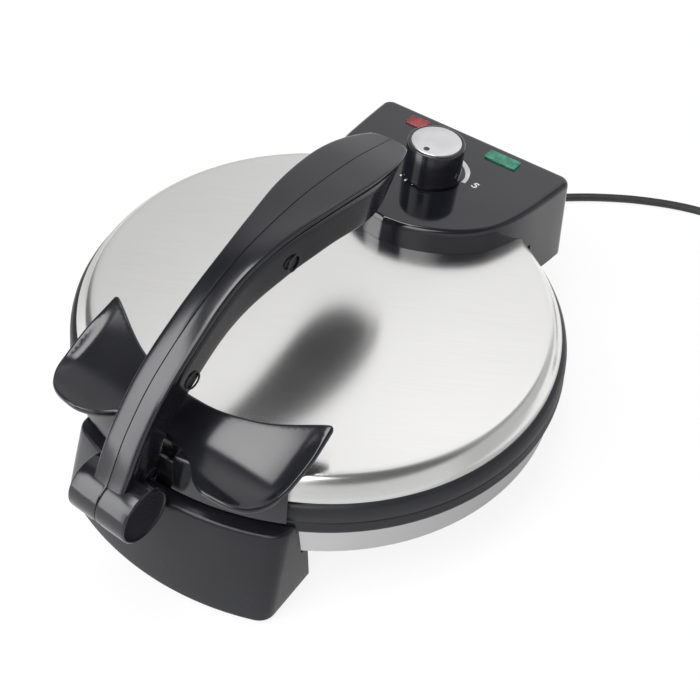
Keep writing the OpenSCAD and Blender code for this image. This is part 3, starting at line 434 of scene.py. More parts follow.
def joined(*parts):
    """Points and faces of several parts as one mesh."""
    verts, faces = [], []
    for points, polygons in parts:
        faces += [[len(verts) + k for k in face] for face in polygons]
        verts += [tuple(p) for p in points]
    return verts, faces


def unit_normals(p, loop=False):
    """Normals to the left of a line of points in a plane."""
    t = np.roll(p, -1, 0) - np.roll(p, 1, 0) if loop else np.gradient(p, axis=0)
    t /= np.linalg.norm(t, axis=1)[:, None]
    return np.stack([-t[:, 1], t[:, 0]], 1)


def offset_line(p, d):
    """Open line of points moved to its left by d."""
    p = np.array(p, float)
    return p + d * unit_normals(p)


def inset_loop(p, d):
    """Closed outline, drawn in by d."""
    p = np.array(p, float)
    area = np.sum(p[:, 0] * np.roll(p[:, 1], -1) - np.roll(p[:, 0], -1) * p[:, 1])
    return p + unit_normals(p, loop=True) * (d if area > 0 else -d)


def curve_through(points, n):
    """Smooth curve through points, n steps between each two."""
    p = np.array(points, float)
    out = []
    for i in range(len(p) - 1):
        a = 2 * p[0] - p[1] if i == 0 else p[i - 1]
        b, c = p[i], p[i + 1]
        d = 2 * p[i + 1] - p[i] if i == len(p) - 2 else p[i + 2]
        for k in range(n):
            t = k / n
            out.append(0.5 * (2 * b + (c - a) * t + (2 * a - 5 * b + 4 * c - d) * t * t
                              + (3 * b - a - 3 * c + d) * t ** 3))
    out.append(p[-1])
    return np.array(out)


def by_length(p, n):
    """n + 1 points at even steps along a line of points."""
    p = np.array(p, float)
    s = np.concatenate([[0], np.cumsum(np.linalg.norm(np.diff(p, axis=0), axis=1))])
    at = np.linspace(0, s[-1], n + 1)
    return np.stack([np.interp(at, s, p[:, k]) for k in range(p.shape[1])], 1)


def rounded(points, radii, n=6):
    """Closed outline with rounded corners: one radius for each corner."""
    p = [np.array(q, float) for q in points]
    out = []
    for i, q in enumerate(p):
        r = radii[i] if isinstance(radii, (list, tuple)) else radii
        a, b = p[i - 1] - q, p[(i + 1) % len(p)] - q
        la, lb = np.linalg.norm(a), np.linalg.norm(b)
        if r <= 0 or la < 1e-6 or lb < 1e-6:
            out.append(q)
            continue
        a, b = a / la, b / lb
        half = math.acos(max(-1, min(1, float(a @ b)))) / 2
        if half > math.radians(89.5):
            out.append(q)
            continue
        reach = min(r / math.tan(half), 0.49 * la, 0.49 * lb)
        rr = reach * math.tan(half)
        mid = q + (a + b) / np.linalg.norm(a + b) * (rr / math.sin(half))
        s, e = q + a * reach - mid, q + b * reach - mid
        t0, t1 = math.atan2(s[1], s[0]), math.atan2(e[1], e[0])
        while t1 - t0 > math.pi:
            t1 -= 2 * math.pi
        while t1 - t0 < -math.pi:
            t1 += 2 * math.pi
        for k in range(n + 1):
            t = t0 + (t1 - t0) * k / n
            out.append(mid + rr * np.array([math.cos(t), math.sin(t)]))
    return np.array(out)


# Cord

CORD_POINTS = [
    (0, 180, 13), (0, 187, 12.6), (0, 197, 10.4), (1, 208, 6.4), (4, 219, 3.7),
    (9, 231, 2.6), (17, 244, 2.35), (27.5, 256.5, 2.35), (40, 268, 2.35),
    (53, 279.5, 2.35), (66, 289.5, 2.35), (79, 298.5, 2.35), (92, 306, 2.35),
    (105, 312.5, 2.35), (119, 318, 2.35), (134, 322, 2.35), (150, 324, 2.35),
    (167, 324, 2.35), (183, 324, 2.35)]
TAIL_POINTS = [
    (197, 324, 7.0), (206, 324, 6.7), (216, 324, 5.4), (227, 324, 3.9),
    (238, 324, 3.8), (248, 324, 4.9), (258, 324, 5.6)]
# The coil's middle in plan, its outer radius and number of turns. The cord winds inwards by
# COIL_PITCH a turn, climbs onto itself by COIL_CLIMB and winds out again.
COIL_X, COIL_Y = 190, 368
COIL_R, COIL_TURNS, COIL_PITCH, COIL_CLIMB = 44, 2, 7.6, 4.7
CORD_LIES = 2.35
# Points of the route closer than this are left out, where the run, coil and tail join
CORD_STEP = 1.2
# Half the width of the flex and half its height
FLEX_HALF, FLEX_R = 3.45, 2.25


def coil_points():
    out = []
    steps = 24
    for k in range(2 * COIL_TURNS * steps + 1):
        u = k / steps
        r = COIL_R - COIL_PITCH * (COIL_TURNS - abs(u - COIL_TURNS))
        climb = min(1, max(0, (u - COIL_TURNS + 0.25) / 0.5))
        a = 2 * math.pi * u
        out.append((COIL_X + r * math.sin(a), COIL_Y - r * math.cos(a),
                    CORD_LIES + COIL_CLIMB * climb))
    return out


def flex_section():
    """Twin flat flex: two round conductors joined by a web with a groove on each side."""
    middle = FLEX_HALF - FLEX_R
    half = [(middle + FLEX_R * math.cos(a), FLEX_R * math.sin(a))
            for a in np.radians(np.linspace(-78, 78, 11))]
    half += [(0.5, 1.6), (0, 1.4), (-0.5, 1.6)]
    return half + [(-x, -y) for x, y in half]


def make_cord():
    route = [*curve_through(CORD_POINTS, 3), *np.array(coil_points()),
             *curve_through(TAIL_POINTS, 3)]
    even = route[:1]
    for p in route[1:]:
        if np.linalg.norm(p - even[-1]) > CORD_STEP:
            even.append(p)
    fine = curve_through(even, 2)
    section = flex_section()
    verts = []
    for i, p in enumerate(fine):
        along = fine[min(i + 1, len(fine) - 1)] - fine[max(i - 1, 0)]
        along /= np.linalg.norm(along)
        side = np.cross(along, [0, 0, 1])
        side /= np.linalg.norm(side)
        up = np.cross(side, along)
        verts += [p + a * side + b * up for a, b in section]
    obj = put("flex", verts, capped(len(fine), len(section)), "root", "cord",
              ("cord_run", "cord_coil", "cord_tail"), shift=0)


# Lid and its ring

LID_EDGE = curve_through([
    (133.05, 64.6), (132.6, 66.3), (131.5, 68.3), (129.9, 70.5), (127.9, 72.9), (126.0, 74.6),
    (124.4, 75.35), (122.6, 75.55)], 5)
LID_SHEET = 0.8
# How far the domed top of the lid rises from its edge
LID_DOME = 1.05


def lid_line():
    """Outside of the lid, as radius and height from its rim to its middle."""
    edge_r, edge_z = LID_EDGE[-1]
    top = [(r, edge_z + LID_DOME * (1 - (r / edge_r) ** 2))
           for r in (121, 118, 112, 104, 92, 76, 58, 38, 20, 8, 0)]
    return np.vstack([LID_EDGE, top])


def make_lid():
    outer = lid_line()
    inner = offset_line(outer, LID_SHEET)
    inner[-1][0] = 0
    rim_in, rim_out, foot = inner[0][0], outer[0][0], 64.5
    lip = [(rim_in, foot + 0.1), (rim_in + 0.25, foot), (rim_out - 0.25, foot)]
    v, f = turned(np.vstack([inner[::-1], lip, outer]), 288)
    obj = put("lid_skin", v, f, "lid", "steel", ("lid_shell",), sharp=60)
    brush_map(obj)


def make_ring():
    """Upper ring: its outer top edge is well rounded, and a lug at the back takes the hinge."""
    line = [(126.9, 54.6), (136.8, 54.6), (137.3, 55.2), (137.2, 57.4), (136.9, 59.4),
            (136.35, 61.1), (135.55, 62.5), (134.5, 63.5), (133.3, 64.1), (132, 64.28),
            (120, 64.28), (120, 60.52), (125.4, 60.52), (125.4, 55.5)]
    half, back = 42, 138.8
    parts = [turned(line, 288, loop=True)]
    for r, z0, z1 in ((130.3, 54.7, 64.2), (133.5, 64.1, 66.3)):
        arc = [(x, math.sqrt(r * r - x * x)) for x in np.linspace(-half, half, 29)]
        parts.append(prism(arc + [(half, back), (-half, back)], z0, z1))
    v, f = joined(*parts)
    put("ring_skin", v, f, "lid", "satin", ("upper_ring",), sharp=38)


# Lever

# Its lines are y and height, apart from LEVER_HALF, which is y and half the width. A hole
# is y, height and the x of its floor.
PIVOT_Y, PIVOT_Z = -159.5, 59.7
LEVER_TOP = curve_through([(-164.5, 73.3), (-148, 98.2), (-124, 120.6), (-81, 143.5),
                           (-33, 152.5), (14, 151.1), (53.4, 144.2)], 14)
LEVER_UNDER = curve_through([(37.2, 126.6), (18, 123.8), (-20, 127.2), (-56, 121.8),
                             (-91, 113.8), (-118, 97.6), (-133, 83), (-137.5, 74),
                             (-146, 66)], 12)[::-1]
LEVER_HALF = curve_through([(-180, 9.2), (-125, 9.2), (-82, 8.9), (-52, 11.8), (-24, 16.2),
                            (3, 18.8), (20, 18.8), (36, 17.0), (47, 13.7), (55, 10.4)], 10)
LEVER_HOLES = [(-46, 131.5, 9.2), (-114.5, 106.5, 5.5), (-146, 68, 5.5)]
HOLE_R = 4.1
TIP_ROUND = 2.6
BARREL_R = 14.5


def half_width(y):
    w = float(np.interp(y, *LEVER_HALF.T))
    round_from = LEVER_TOP[-1][0] - TIP_ROUND
    if y > round_from:
        w -= TIP_ROUND - math.sqrt(max(0, TIP_ROUND ** 2 - (y - round_from) ** 2))
    return w


def lever_section(w, h):
    """Right half of a section: half width across and depth below the top edge. From a soft
    seam it has a crowned top, a groove under its edge, a drafted side and a flat underside."""
    crown, groove = 0.45, w - min(1.8, 0.25 * w)
    step, side, draft, corner = 4.95, w - 0.66, 0.9, 2.2
    low = side - draft
    pts = [(0.05, 1.3), (0.05, 0.34), (0.28, 0.05)]
    pts += [(k * w, crown * k * k) for k in (0.12, 0.3, 0.5, 0.7, 0.85)]
    pts += [(w - 0.95, crown * 0.85 + 0.02), (w - 0.5, crown + 0.12), (w - 0.16, crown + 0.42),
            (w, crown + 0.9), (w, 2.5), (w - 0.1, 2.8), (w - 0.35, 2.98),
            (groove, 3.1), (groove - 0.05, 3.3), (groove - 0.05, 4.3),
            (groove + 0.05, 4.5), (w - 1.1, 4.5), (w - 0.78, 4.62), (side, step)]
    pts += [(side - draft * k, step + (h - 2.4 - step) * k) for k in (0.25, 0.5, 0.75)]
    pts += [(low - corner + corner * math.cos(a), h - corner + corner * math.sin(a))
            for a in np.radians(np.linspace(0, 90, 7))]
    return pts + [(low * 0.45, h), (0.05, h)]


def lever_skin(s):
    """One half of the lever: s is 1 for the right and -1 for the left."""
    steps = 118
    verts = []
    for top, under in zip(by_length(LEVER_TOP, steps), by_length(LEVER_UNDER, steps)):
        h = np.linalg.norm(under - top)
        down = (under - top) / h
        section = lever_section(half_width(top[0]), h)
        verts += [(s * x, *(top + down * k)) for x, k in section]
    # Rounded rim round the tip's end face, drawn in towards its middle
    face = np.array(verts[-len(section):])
    mid = np.array([s * 4.0, *(top + under) / 2])
    ahead = np.array([0, -down[1], down[0]])
    rim = ((0.25, 0.45), (0.75, 0.8), (1.5, 0.95))
    for inset, reach in rim:
        for q in face:
            inward = mid - q
            if abs(q[0]) < 0.1:
                # The seam's points stay at the seam
                inward[0] = 0
            verts.append(q + inward / np.linalg.norm(inward) * inset + ahead * reach)
    return verts, capped(steps + 1 + len(rim), len(section))


def barrel_skin(s):
    """Half of the cross barrel, with room for the lug, and a thin rim at its end."""
    def about_pivot(profile, angles):
        return [(s * x, PIVOT_Y + r * math.cos(a), PIVOT_Z + r * math.sin(a))
                for a in angles for x, r in profile]

    main = [(2.6, 0), (2.6, 14.35), (2.6, BARREL_R), (9, BARREL_R), (16.2, BARREL_R),
            (16.6, 14.42), (16.88, 14.2), (17, 13.8), (17, 13.2), (16.9, 12.95),
            (16.6, 12.8), (16.45, 12.4), (16.4, 8), (16.4, 0)]
    lip = [(0.05, 14.1), (0.22, 14.42), (0.5, BARREL_R), (1.6, BARREL_R), (3.0, BARREL_R),
           (3.0, 11.8), (0.05, 11.8)]
    whole, part = circle(96), np.radians(np.linspace(20, 192, 61))
    return joined((about_pivot(main, whole), grid_faces(len(whole), len(main), wrap_rows=True)),
                  (about_pivot(lip, part), capped(len(part), len(lip))))


def make_screw_cup(k, y, z):
    """Raised rim round a screw hole of the right half."""
    w = half_width(y) - 0.75
    rim = rounded([(w - 0.5, 4.05), (w + 0.32, HOLE_R), (w + 0.32, 4.75), (w - 0.5, 4.75)],
                  0.14, 3)
    verts = [(x, y + r * math.cos(a), z + r * math.sin(a)) for a in circle(40) for x, r in rim]
    put("screw_cup_%d" % k, verts, grid_faces(40, len(rim), wrap_rows=True, wrap_cols=True),
        "lever", "gloss", (), sharp=50)


def make_lever():
    for s, side, node in ((1, "right", "lever_right_shell"), (-1, "left", "lever_left_shell")):
        v, f = lever_skin(s)
        obj = put("lever_" + side, v, f, "lever", "gloss", (node,),
                  sharp=40)
        if side == "right":
            cut(obj, [pin(y, z, HOLE_R, x, 30, 36) for y, z, x in LEVER_HOLES], sharp=40)
            for k, (y, z, _) in enumerate(LEVER_HOLES):
                make_screw_cup(k + 1, y, z)
        v, f = barrel_skin(s)
        put("barrel_" + side, v, f, "lever", "gloss", (), sharp=40)


# Handle of the lid

# WING_CROWN is y and height. The other lines are the right half of the wings in plan: the
# rear edge, the outer edge round to the front, and the corners between them.
WING_CROWN = curve_through([(-148, 81.9), (-142, 81.0), (-136, 80.6), (-124, 81.6),
                            (-110, 85.4), (-98, 89), (-86, 93.6)], 6)
WING_REAR = curve_through([(0, -108.3), (11, -107.9), (20, -106.6), (29, -104.1), (38, -100.9),
                           (48.5, -95.9), (58, -90.8), (63, -88.2)], 5)
WING_OUTER = curve_through([(68.5, -93), (69.1, -104), (68.6, -114), (67.6, -123),
                            (65.2, -132), (60, -139.2), (53, -143.4), (45, -145),
                            (38, -145), (31.6, -142.4), (27, -139), (22.6, -135)], 5)
WING_TIP = (68, -85.9)
WING_NOTCH = (13.5, -131.2)
# Even points round the whole outline, and the step of the grid inside it
WING_POINTS, WING_GRID = 520, 1.5
# Edge of the wings from top to bottom: how far it is drawn in, and how far below the top
WING_EDGE = [(1.5, 0), (0.9, 0.1), (0.45, 0.38), (0.12, 0.9), (0, 1.5), (0, 2.6), (0.15, 3.2),
             (0.55, 3.7), (1.2, 4.0)]
# Dish in each wing: its depth, its middle, and its reach inwards, outwards and along y
DISH, DISH_X, DISH_Y = 2.6, 60, -117
DISH_IN, DISH_OUT, DISH_LONG = 44, 11, 31
# Lip at the front: how far it curls up, where it starts and over what length
CURL, CURL_FROM, CURL_LONG = 1.6, -136, 11


def inside(outline, points):
    """Whether each of the points is inside the closed outline."""
    out = np.zeros(len(points), bool)
    for (x0, y0), (x1, y1) in zip(outline, np.roll(outline, -1, 0)):
        hit = (y0 > points[:, 1]) != (y1 > points[:, 1])
        with np.errstate(divide="ignore", invalid="ignore"):
            x = (x1 - x0) * (points[:, 1] - y0) / (y1 - y0) + x0
        out ^= hit & (points[:, 0] < x)
    return out


def filled(outline, step):
    """Triangles over an outline, with points inside it on a grid. Its own points come first."""
    x0, y0 = outline.min(0)
    x1, y1 = outline.max(0)
    grid = np.array([(x + (0.5 * step if j % 2 else 0), y)
                     for j, y in enumerate(np.arange(y0, y1, step))
                     for x in np.arange(x0, x1, step)])
    grid = grid[inside(outline, grid)]
    near = np.min(np.linalg.norm(grid[:, None] - outline[None], axis=2), axis=1)
    points = [Vector(q) for q in (*outline, *grid[near > 0.6 * step])]
    edges = [(i, (i + 1) % len(outline)) for i in range(len(outline))]
    verts, _, faces, *_ = delaunay_2d_cdt(points, edges, [], 1, 1e-6)
    return np.array([tuple(q) for q in verts]), faces


def wing_top(x, y):
    z = np.interp(y, *WING_CROWN.T)
    out = np.abs(x) - DISH_X
    far = (out / np.where(out > 0, DISH_OUT, DISH_IN)) ** 2 + ((y - DISH_Y) / DISH_LONG) ** 2
    dish = DISH * np.clip(1 - far, 0, 1) ** 2
    curl = CURL * np.clip((CURL_FROM - y) / CURL_LONG, 0, 1) ** 2
    return z - dish + curl


def make_wings():
    rear, outer = [tuple(q) for q in WING_REAR], [tuple(q) for q in WING_OUTER]
    right = rear + [WING_TIP] + outer + [WING_NOTCH]
    left = [(-x, y) for x, y in right[1:]][::-1]
    corner = [0] * len(rear) + [2.4] + [0] * (len(outer) - 1) + [2.0, 2.0]
    outline = rounded(right + left, corner + corner[1:][::-1], 6)
    outline = by_length(np.vstack([outline, outline[:1]]), WING_POINTS)[:-1]
    n, levels = len(outline), len(WING_EDGE)
    verts = []
    for d, drop in WING_EDGE:
        p = inset_loop(outline, d)
        verts += zip(*p.T, wing_top(*p.T) - drop)
    faces = grid_faces(levels, n, wrap_cols=True)
    middle, triangles = filled(inset_loop(outline, WING_EDGE[0][0]), WING_GRID)
    for level in (0, levels - 1):
        index = list(range(level * n, level * n + n))
        for x, y in middle[n:]:
            index.append(len(verts))
            verts.append((x, y, wing_top(x, y) - WING_EDGE[level][1]))
        faces += [[index[k] for k in t] for t in triangles]
    put("wings", verts, faces, "lid", "gloss", ("lid_handle",), sharp=70)


def make_handle_walls():
    """Front wall of the handle with the deck under the wings, one block on each side."""
    line = rounded([(112, 57.7), (141.4, 57.5), (137.2, 78.4), (112, 78.4)],
                   [0, 0.8, 2.0, 0.5], 5)
    steps, gap, end = 40, 14.5, math.radians(29.3)
    for s, name in ((1, "right"), (-1, "left")):
        verts = []
        for k in np.linspace(0, 1, steps + 1):
            for r, z in line:
                start = math.asin(gap / r)
                a = start + (end - start) * k
                verts.append((s * r * math.sin(a), -r * math.cos(a), z))
        obj = put("handle_wall_" + name, verts, capped(steps + 1, len(line)), "lid", "gloss",
                  (), sharp=35)
        edge = obj.modifiers.new("bevel", "BEVEL")
        edge.width = 0.0005
        edge.segments = 3
        edge.limit_method = "ANGLE"
        edge.angle_limit = math.radians(60)


# Control housing

PANEL_Z = 91.2
# Each line is the panel's edge in plan, from the middle of the front
HOUSING_RIGHT = curve_through([(0, 57.3), (13, 59.7), (27, 66), (40, 75), (49.6, 86.6),
                               (55.6, 100.2), (59.7, 116), (63, 136), (65.2, 152),
                               (66.4, 170)], 10)
HOUSING_LEFT = curve_through([(0, 57.3), (13, 59.7), (27, 66), (40, 75), (50.4, 86.6),
                              (57.2, 97), (59.9, 108), (61, 122), (61.8, 138), (62.3, 152),
                              (62.6, 170)], 10)
HOUSING_BACK, HOUSING_CORNER = 157.5, 3.0
# Height of the foot, radius of the top edge, spread of the sides to the foot, and the wall
HOUSING_FOOT, HOUSING_EDGE, HOUSING_FLARE, HOUSING_WALL = 39.5, 4, 6.6, 2.5
# How far the housing stays clear of the lid
LID_GAP = 0.12


def housing_side(line, side, rear):
    """Half an outline of the housing, its side grown by side and its back by rear."""
    r = HOUSING_CORNER
    p = by_length(line[line[:, 1] < HOUSING_BACK - r - 0.5], 110)
    out = -unit_normals(p)
    out[0] = (0, -1)
    q = p + out * side
    q[0][0] = 0
    cx, cy = p[-1][0] + 0.06 - r, HOUSING_BACK - r
    arc = [(cx + (r + side) * math.cos(a), cy + (r + rear) * math.sin(a))
           for a in np.radians(np.linspace(0, 90, 9))]
    back = [(cx * k, HOUSING_BACK + rear) for k in (0.85, 0.6, 0.3, 0.0)]
    return [tuple(v) for v in q] + arc + back


def housing_loop(side, rear):
    """Outline of the housing in plan, its sides grown by side and its back by rear."""
    right = housing_side(HOUSING_RIGHT, side, rear)
    left = housing_side(HOUSING_LEFT, side, rear)
    return right + [(-x, y) for x, y in left[1:-1]][::-1]


def make_housing():
    edge, wall = HOUSING_EDGE, HOUSING_WALL
    shoulder = PANEL_Z - edge
    # Height, growth of the sides and growth of the back, from the panel down and up inside
    levels = [(PANEL_Z, -d, -d) for d in (2.4, 1.0, 0.3)]
    for a in np.radians(np.linspace(0, 90, 9)):
        levels.append((PANEL_Z - edge * (1 - math.cos(a)), edge * math.sin(a),
                       edge * math.sin(a)))
    for k in np.linspace(0, 1, 25)[1:]:
        levels.append((shoulder - (shoulder - HOUSING_FOOT) * k, edge + HOUSING_FLARE * k, edge))
    levels += [(HOUSING_FOOT, edge + HOUSING_FLARE - wall, edge - wall),
               (shoulder, edge - wall, edge - wall), (PANEL_Z - wall, 0, 0)]
    verts = [(x, y, z) for z, side, rear in levels for x, y in housing_loop(side, rear)]
    obj = put("housing_skin", verts, capped(len(levels), len(verts) // len(levels)), "lid",
              "panel", ("control_housing",), sharp=50)
    # The lid with its ring, and the hinge's room at the back
    lid = offset_line(lid_line(), -LID_GAP)
    lid[-1][0] = 0
    ring = [(0, 20), (141, 20), (141, 55.8), (137.9, 55.8), (137.9, 64.5)]
    hinge = [(-48, 100), (48, 100), (48, 200), (-48, 200)]
    cut(obj, [turned(np.vstack([ring, lid]), 240), prism(hinge, 20, 45)], sharp=38)


# Front bracket and feet

# The bracket's front is an arc about the plates' axis, whose radius grows to the right at
# the foot, and its ends lean in towards the top.
FOOT_Z, BRACKET_TOP = 2.5, 52.5
BRACKET_LEFT, LEFT_LEAN = -58.6, 8.5
BRACKET_RIGHT, RIGHT_LEAN = 75.6, 4.2
FOOT_R, FOOT_R_GROWTH, TOP_R = 160.0, 6.7, 146


def bracket_loop(z, inset, rear=-110.5):
    """Outline of the front bracket in plan at one height, corners rounded."""
    k = (z - FOOT_Z) / (BRACKET_TOP - FOOT_Z)
    left = BRACKET_LEFT + LEFT_LEAN * k + inset
    right = BRACKET_RIGHT - RIGHT_LEAN * k - inset

    def front(x):
        r = FOOT_R
        for _ in range(8):
            r = (FOOT_R + FOOT_R_GROWTH * x / r) * (1 - k) + TOP_R * k - inset
        return -math.sqrt(r * r - x * x)

    soft = 6.0
    arc = [(x, front(x)) for x in np.linspace(left + soft, right - soft, 64)]

    def bend(end, near):
        side, corner = np.array((end, front(end) + soft)), np.array((end, front(end)))
        return [tuple((1 - t) ** 2 * side + 2 * t * (1 - t) * corner + t * t * np.array(near))
                for t in np.linspace(0, 1, 12)[:-1]]

    back = rear - inset
    return ([(left, back)] + bend(left, arc[0]) + arc + bend(right, arc[-1])[::-1]
            + [(right, back)])


def make_bracket():
    levels = [(2.5, 0.9), (2.62, 0.35), (3.0, 0.06), (3.6, 0)]
    levels += [(z, 0) for z in np.linspace(9, 50.6, 8)]
    levels += [(51.3, 0.1), (51.9, 0.35), (52.3, 0.8), (52.5, 1.5)]
    verts = [(x, y, z) for z, inset in levels for x, y in bracket_loop(z, inset)]
    n = len(verts) // len(levels)
    obj = put("bracket_skin", verts, capped(len(levels), n), "root", "bracket",
              ("front_bracket",), sharp=50)
    # The pan with its ring, the hollow underside and the slot of the lever's lug
    seat = [(0, 26), (120, 26), (137.1, 27.3), (137.1, 47.5), (138.65, 47.5), (138.65, 60),
            (0, 60)]
    depths, wall = (0, 8, 16, 23.5), 3.0
    hollow = [(x, y, z) for z in depths for x, y in bracket_loop(max(z, FOOT_Z), wall, -111.5)]
    lug = [(-2.1, -146.5), (2.1, -146.5), (2.1, -138), (-2.1, -138)]
    cut(obj, [turned(seat, 200), (hollow, capped(len(depths), n)), prism(lug, 8, 60)], sharp=42)


def make_feet():
    """Rubber feet with a rounded sole. Those in front are each under a hollow post."""
    sole = [(0, 0.35), (4.2, 0.35), (4.6, 0), (6.2, 0), (6.7, 0.2), (7, 0.7), (7, 2.0),
            (6.6, 2.5), (2.9, 2.5), (2.9, 7), (0, 7)]
    top = 24.5
    post = [(3.1, 2.5), (8.0, 2.5), (8.3, 2.9), (4.4, top), (3.1, top)]
    for k, (x, y) in enumerate(((-49, -136), (60, -136), (-48, 126), (48, 126))):
        v, f = turned(sole, 48)
        put("foot_%d" % (k + 1), v + [x, y, 0], f, "root", "foot",
            ("rubber_feet",) if k == 0 else (), sharp=35)
        if y < 0:
            v, f = turned(post, 48, loop=True)
            put("foot_post_%d" % (k + 1), v + [x, y, 0], f, "root", "bracket", (),
                sharp=35)


# Knob, print and lenses on the panel

KNOB_Y = 108
KNOB_FOOT, KNOB_TOP = 91.7, 114.3
PRINT_Z = (PANEL_Z - 0.01, PANEL_Z + 0.04)
DOT_R = 0.72
LENS_Y, LENS_HALF = 148.5, 4.7


def make_knob():
    z0, z1 = KNOB_FOOT, KNOB_TOP
    body = [(0, z0), (16.9, z0), (17.5, z0 + 0.1), (17.75, z0 + 0.5), (17.78, z0 + 2.2),
            (17.68, z0 + 2.6), (17.62, z0 + 3.0), (17.15, z1 - 1.5), (17.05, z1 - 0.7),
            (16.8, z1 - 0.22), (16.4, z1), (15.4, z1), (15.2, z1 - 0.1), (15.1, z1 - 0.3),
            (15.08, z1 - 1.0), (0, z1 - 1.0)]
    v, f = turned(body, 128)
    put("knob_skin", v + [0, KNOB_Y, 0], f, "knob_body", "gloss", ("knob",),
        sharp=45)
    disc = [(0, z1 - 0.95), (14.95, z1 - 0.95), (15.0, z1 - 0.12), (14.8, z1 + 0.12),
            (14.4, z1 + 0.22), (8, z1 + 0.24), (0, z1 + 0.24)]
    v, f = turned(disc, 128)
    put("knob_disc", v + [0, KNOB_Y, 0], f, "knob_body", "cap", ("knob_cap",),
        sharp=45)
    # Pointer: a small dished dot
    dot = [(0, z1 + 0.2), (1.75, z1 + 0.2), (1.8, z1 + 0.34), (1.5, z1 + 0.38),
           (1.1, z1 + 0.3), (0, z1 + 0.26)]
    v, f = turned(dot, 40)
    put("pointer_dot", v + [-0.4, KNOB_Y - 10.7, 0], f, "knob_body", "gloss", (),
        sharp=60)


def make_dial_dots():
    for k, (x, y) in enumerate(((-13.2, 94.4), (-8.6, 92.1), (-3.2, 91.6))):
        dot = [(x + DOT_R * math.cos(a), y + DOT_R * math.sin(a)) for a in circle(20)]
        v, f = prism(dot, *PRINT_Z)
        put("dial_dot_%d" % (k + 1), v, f, "lid", "print", (), sharp=40)


def make_dial_wedge():
    """Arc round the knob that grows from its start to its end."""
    turns = np.linspace(14, 88, 40)
    far = np.interp(turns, [14, 30, 43, 59, 73, 88], [21.3, 22.8, 24.3, 25.3, 26.0, 26.4])
    near = np.interp(turns, [14, 24, 38, 53, 70, 88], [18.7, 19.8, 20.9, 21.7, 22.6, 24.8])
    low, high = PRINT_Z
    verts = [(r * math.cos(a), KNOB_Y + r * math.sin(a), z)
             for reach, z in ((near, low), (far, low), (far, high), (near, high))
             for r, a in zip(reach, np.radians(turns))]
    m = len(turns)
    faces = [(i * m + k, (i + 1) % 4 * m + k, (i + 1) % 4 * m + k + 1, i * m + k + 1)
             for i in range(4) for k in range(m - 1)]
    faces += [[k + i * m for i in range(4)] for k in (0, m - 1)]
    put("dial_wedge", verts, faces, "lid", "print", (), sharp=40)


def make_dial_number():
    """The figure 5 at the end of the wedge, as one bent stroke."""
    place, turn, h = (24.6, 113.4), math.radians(-12), 4.6
    stroke = [(0.62 * h, h), (0.12 * h, h), (0.06 * h, 0.58 * h)]
    stroke += [(0.3 * h + 0.3 * h * math.cos(a), 0.31 * h + 0.31 * h * math.sin(a))
               for a in np.radians(np.linspace(125, -150, 16))]
    half = 0.09 * h
    flat = np.vstack([offset_line(stroke, half), offset_line(stroke, -half)[::-1]])
    c, s = math.cos(turn), math.sin(turn)
    loop = [(place[0] + c * x - s * y, place[1] + s * x + c * y) for x, y in flat]
    m = len(loop)
    faces = grid_faces(2, m, wrap_cols=True)
    for k in range(len(stroke) - 1):
        far = m - 1 - k
        faces += [(k, k + 1, far - 1, far), (m + k, m + far, m + far - 1, m + k + 1)]
    put("dial_number", [(x, y, z) for z in PRINT_Z for x, y in loop], faces, "lid", "print",
        (), sharp=40)


def make_lens(name, x, half, look, node):
    """Clear cap with a rounded rim and a step at its foot."""
    corners = [(-half, -LENS_HALF), (half, -LENS_HALF), (half, LENS_HALF), (-half, LENS_HALF)]
    outline = rounded(corners, 1.6, 5)
    levels = [(90.9, 0), (91.9, 0), (92.25, 0.12), (92.45, 0.4), (92.5, 0.8), (92.45, 1.2),
              (92.4, 1.5)]
    verts = [(x + a, LENS_Y + b, z) for z, d in levels for a, b in inset_loop(outline, d)]
    put(name, verts, capped(len(levels), len(outline)), "lid", look, (node,), sharp=60)


# Stage and light

FLOOR_HALF = 6.0
# How much of the floor is its own light, for rays that see it directly or in a mirror
FLOOR_GLOW = 0.84
# A fade is an axis, where it starts and ends, and the strength at both ends. These fades make
# the floor's mirror image darker at the right and in the middle, and paler behind the object.
FLOOR_IMAGE = [("X", 0.04, 0.13, 1.0, 0.75), ("Y", -0.16, 0.0, 1.0, 0.6),
               ("Y", 0.12, 0.24, 1.0, 2.3)]
# The light is the sum of an even part, ROOM, and of the parts below. Each is the product of
# its fades over the direction a ray goes in, where "lean" is y less ARCH_LEAN times x.
ROOM = 0.16
ARCH_LEAN = 1.8
# A pale wall behind the object
WALL = [("Y", 0.05, 0.42, 0.0, 1.12), ("Z", 0.8, 0.97, 1.0, 0.25), ("Z", 0.64, 0.84, 0.74, 1.03),
        ("X", -0.66, -0.2, 0.62, 1.0), ("X", 0.1, 0.45, 1.0, 0.3)]
# A strip softbox that arches over the left from the front
ARCH = [("X", -0.7, -0.6, 0.0, 5.2), ("X", -0.34, -0.26, 1.0, 0.0), ("lean", 0.62, 0.8, 1.0, 0.0),
        ("Z", 0.1, 0.7, 0.8, 1.0), ("Z", 0.785, 0.845, 1.0, 0.0)]
# A small softbox above
ABOVE = [("X", -0.37, -0.3, 0.0, 6.5), ("X", -0.1, 0.0, 1.0, 0.0), ("Y", -0.42, -0.3, 0.0, 1.0),
         ("Y", 0.09, 0.17, 1.0, 0.0), ("Z", 0.86, 0.91, 0.0, 1.0)]
# A bank of light in front, over the camera
BANK = [("X", -0.34, -0.26, 0.0, 3.6), ("X", 0.3, 0.45, 1.0, 0.0), ("Y", -0.4, -0.3, 1.0, 0.0),
        ("Z", 0.5, 0.62, 0.0, 1.0)]
# The pale far end of the table at the right
TABLE = [("X", -0.1, 0.25, 0.0, 0.58), ("Y", -0.1, 0.4, 1.0, 0.3), ("Z", 0.4, 0.54, 1.0, 0.0)]


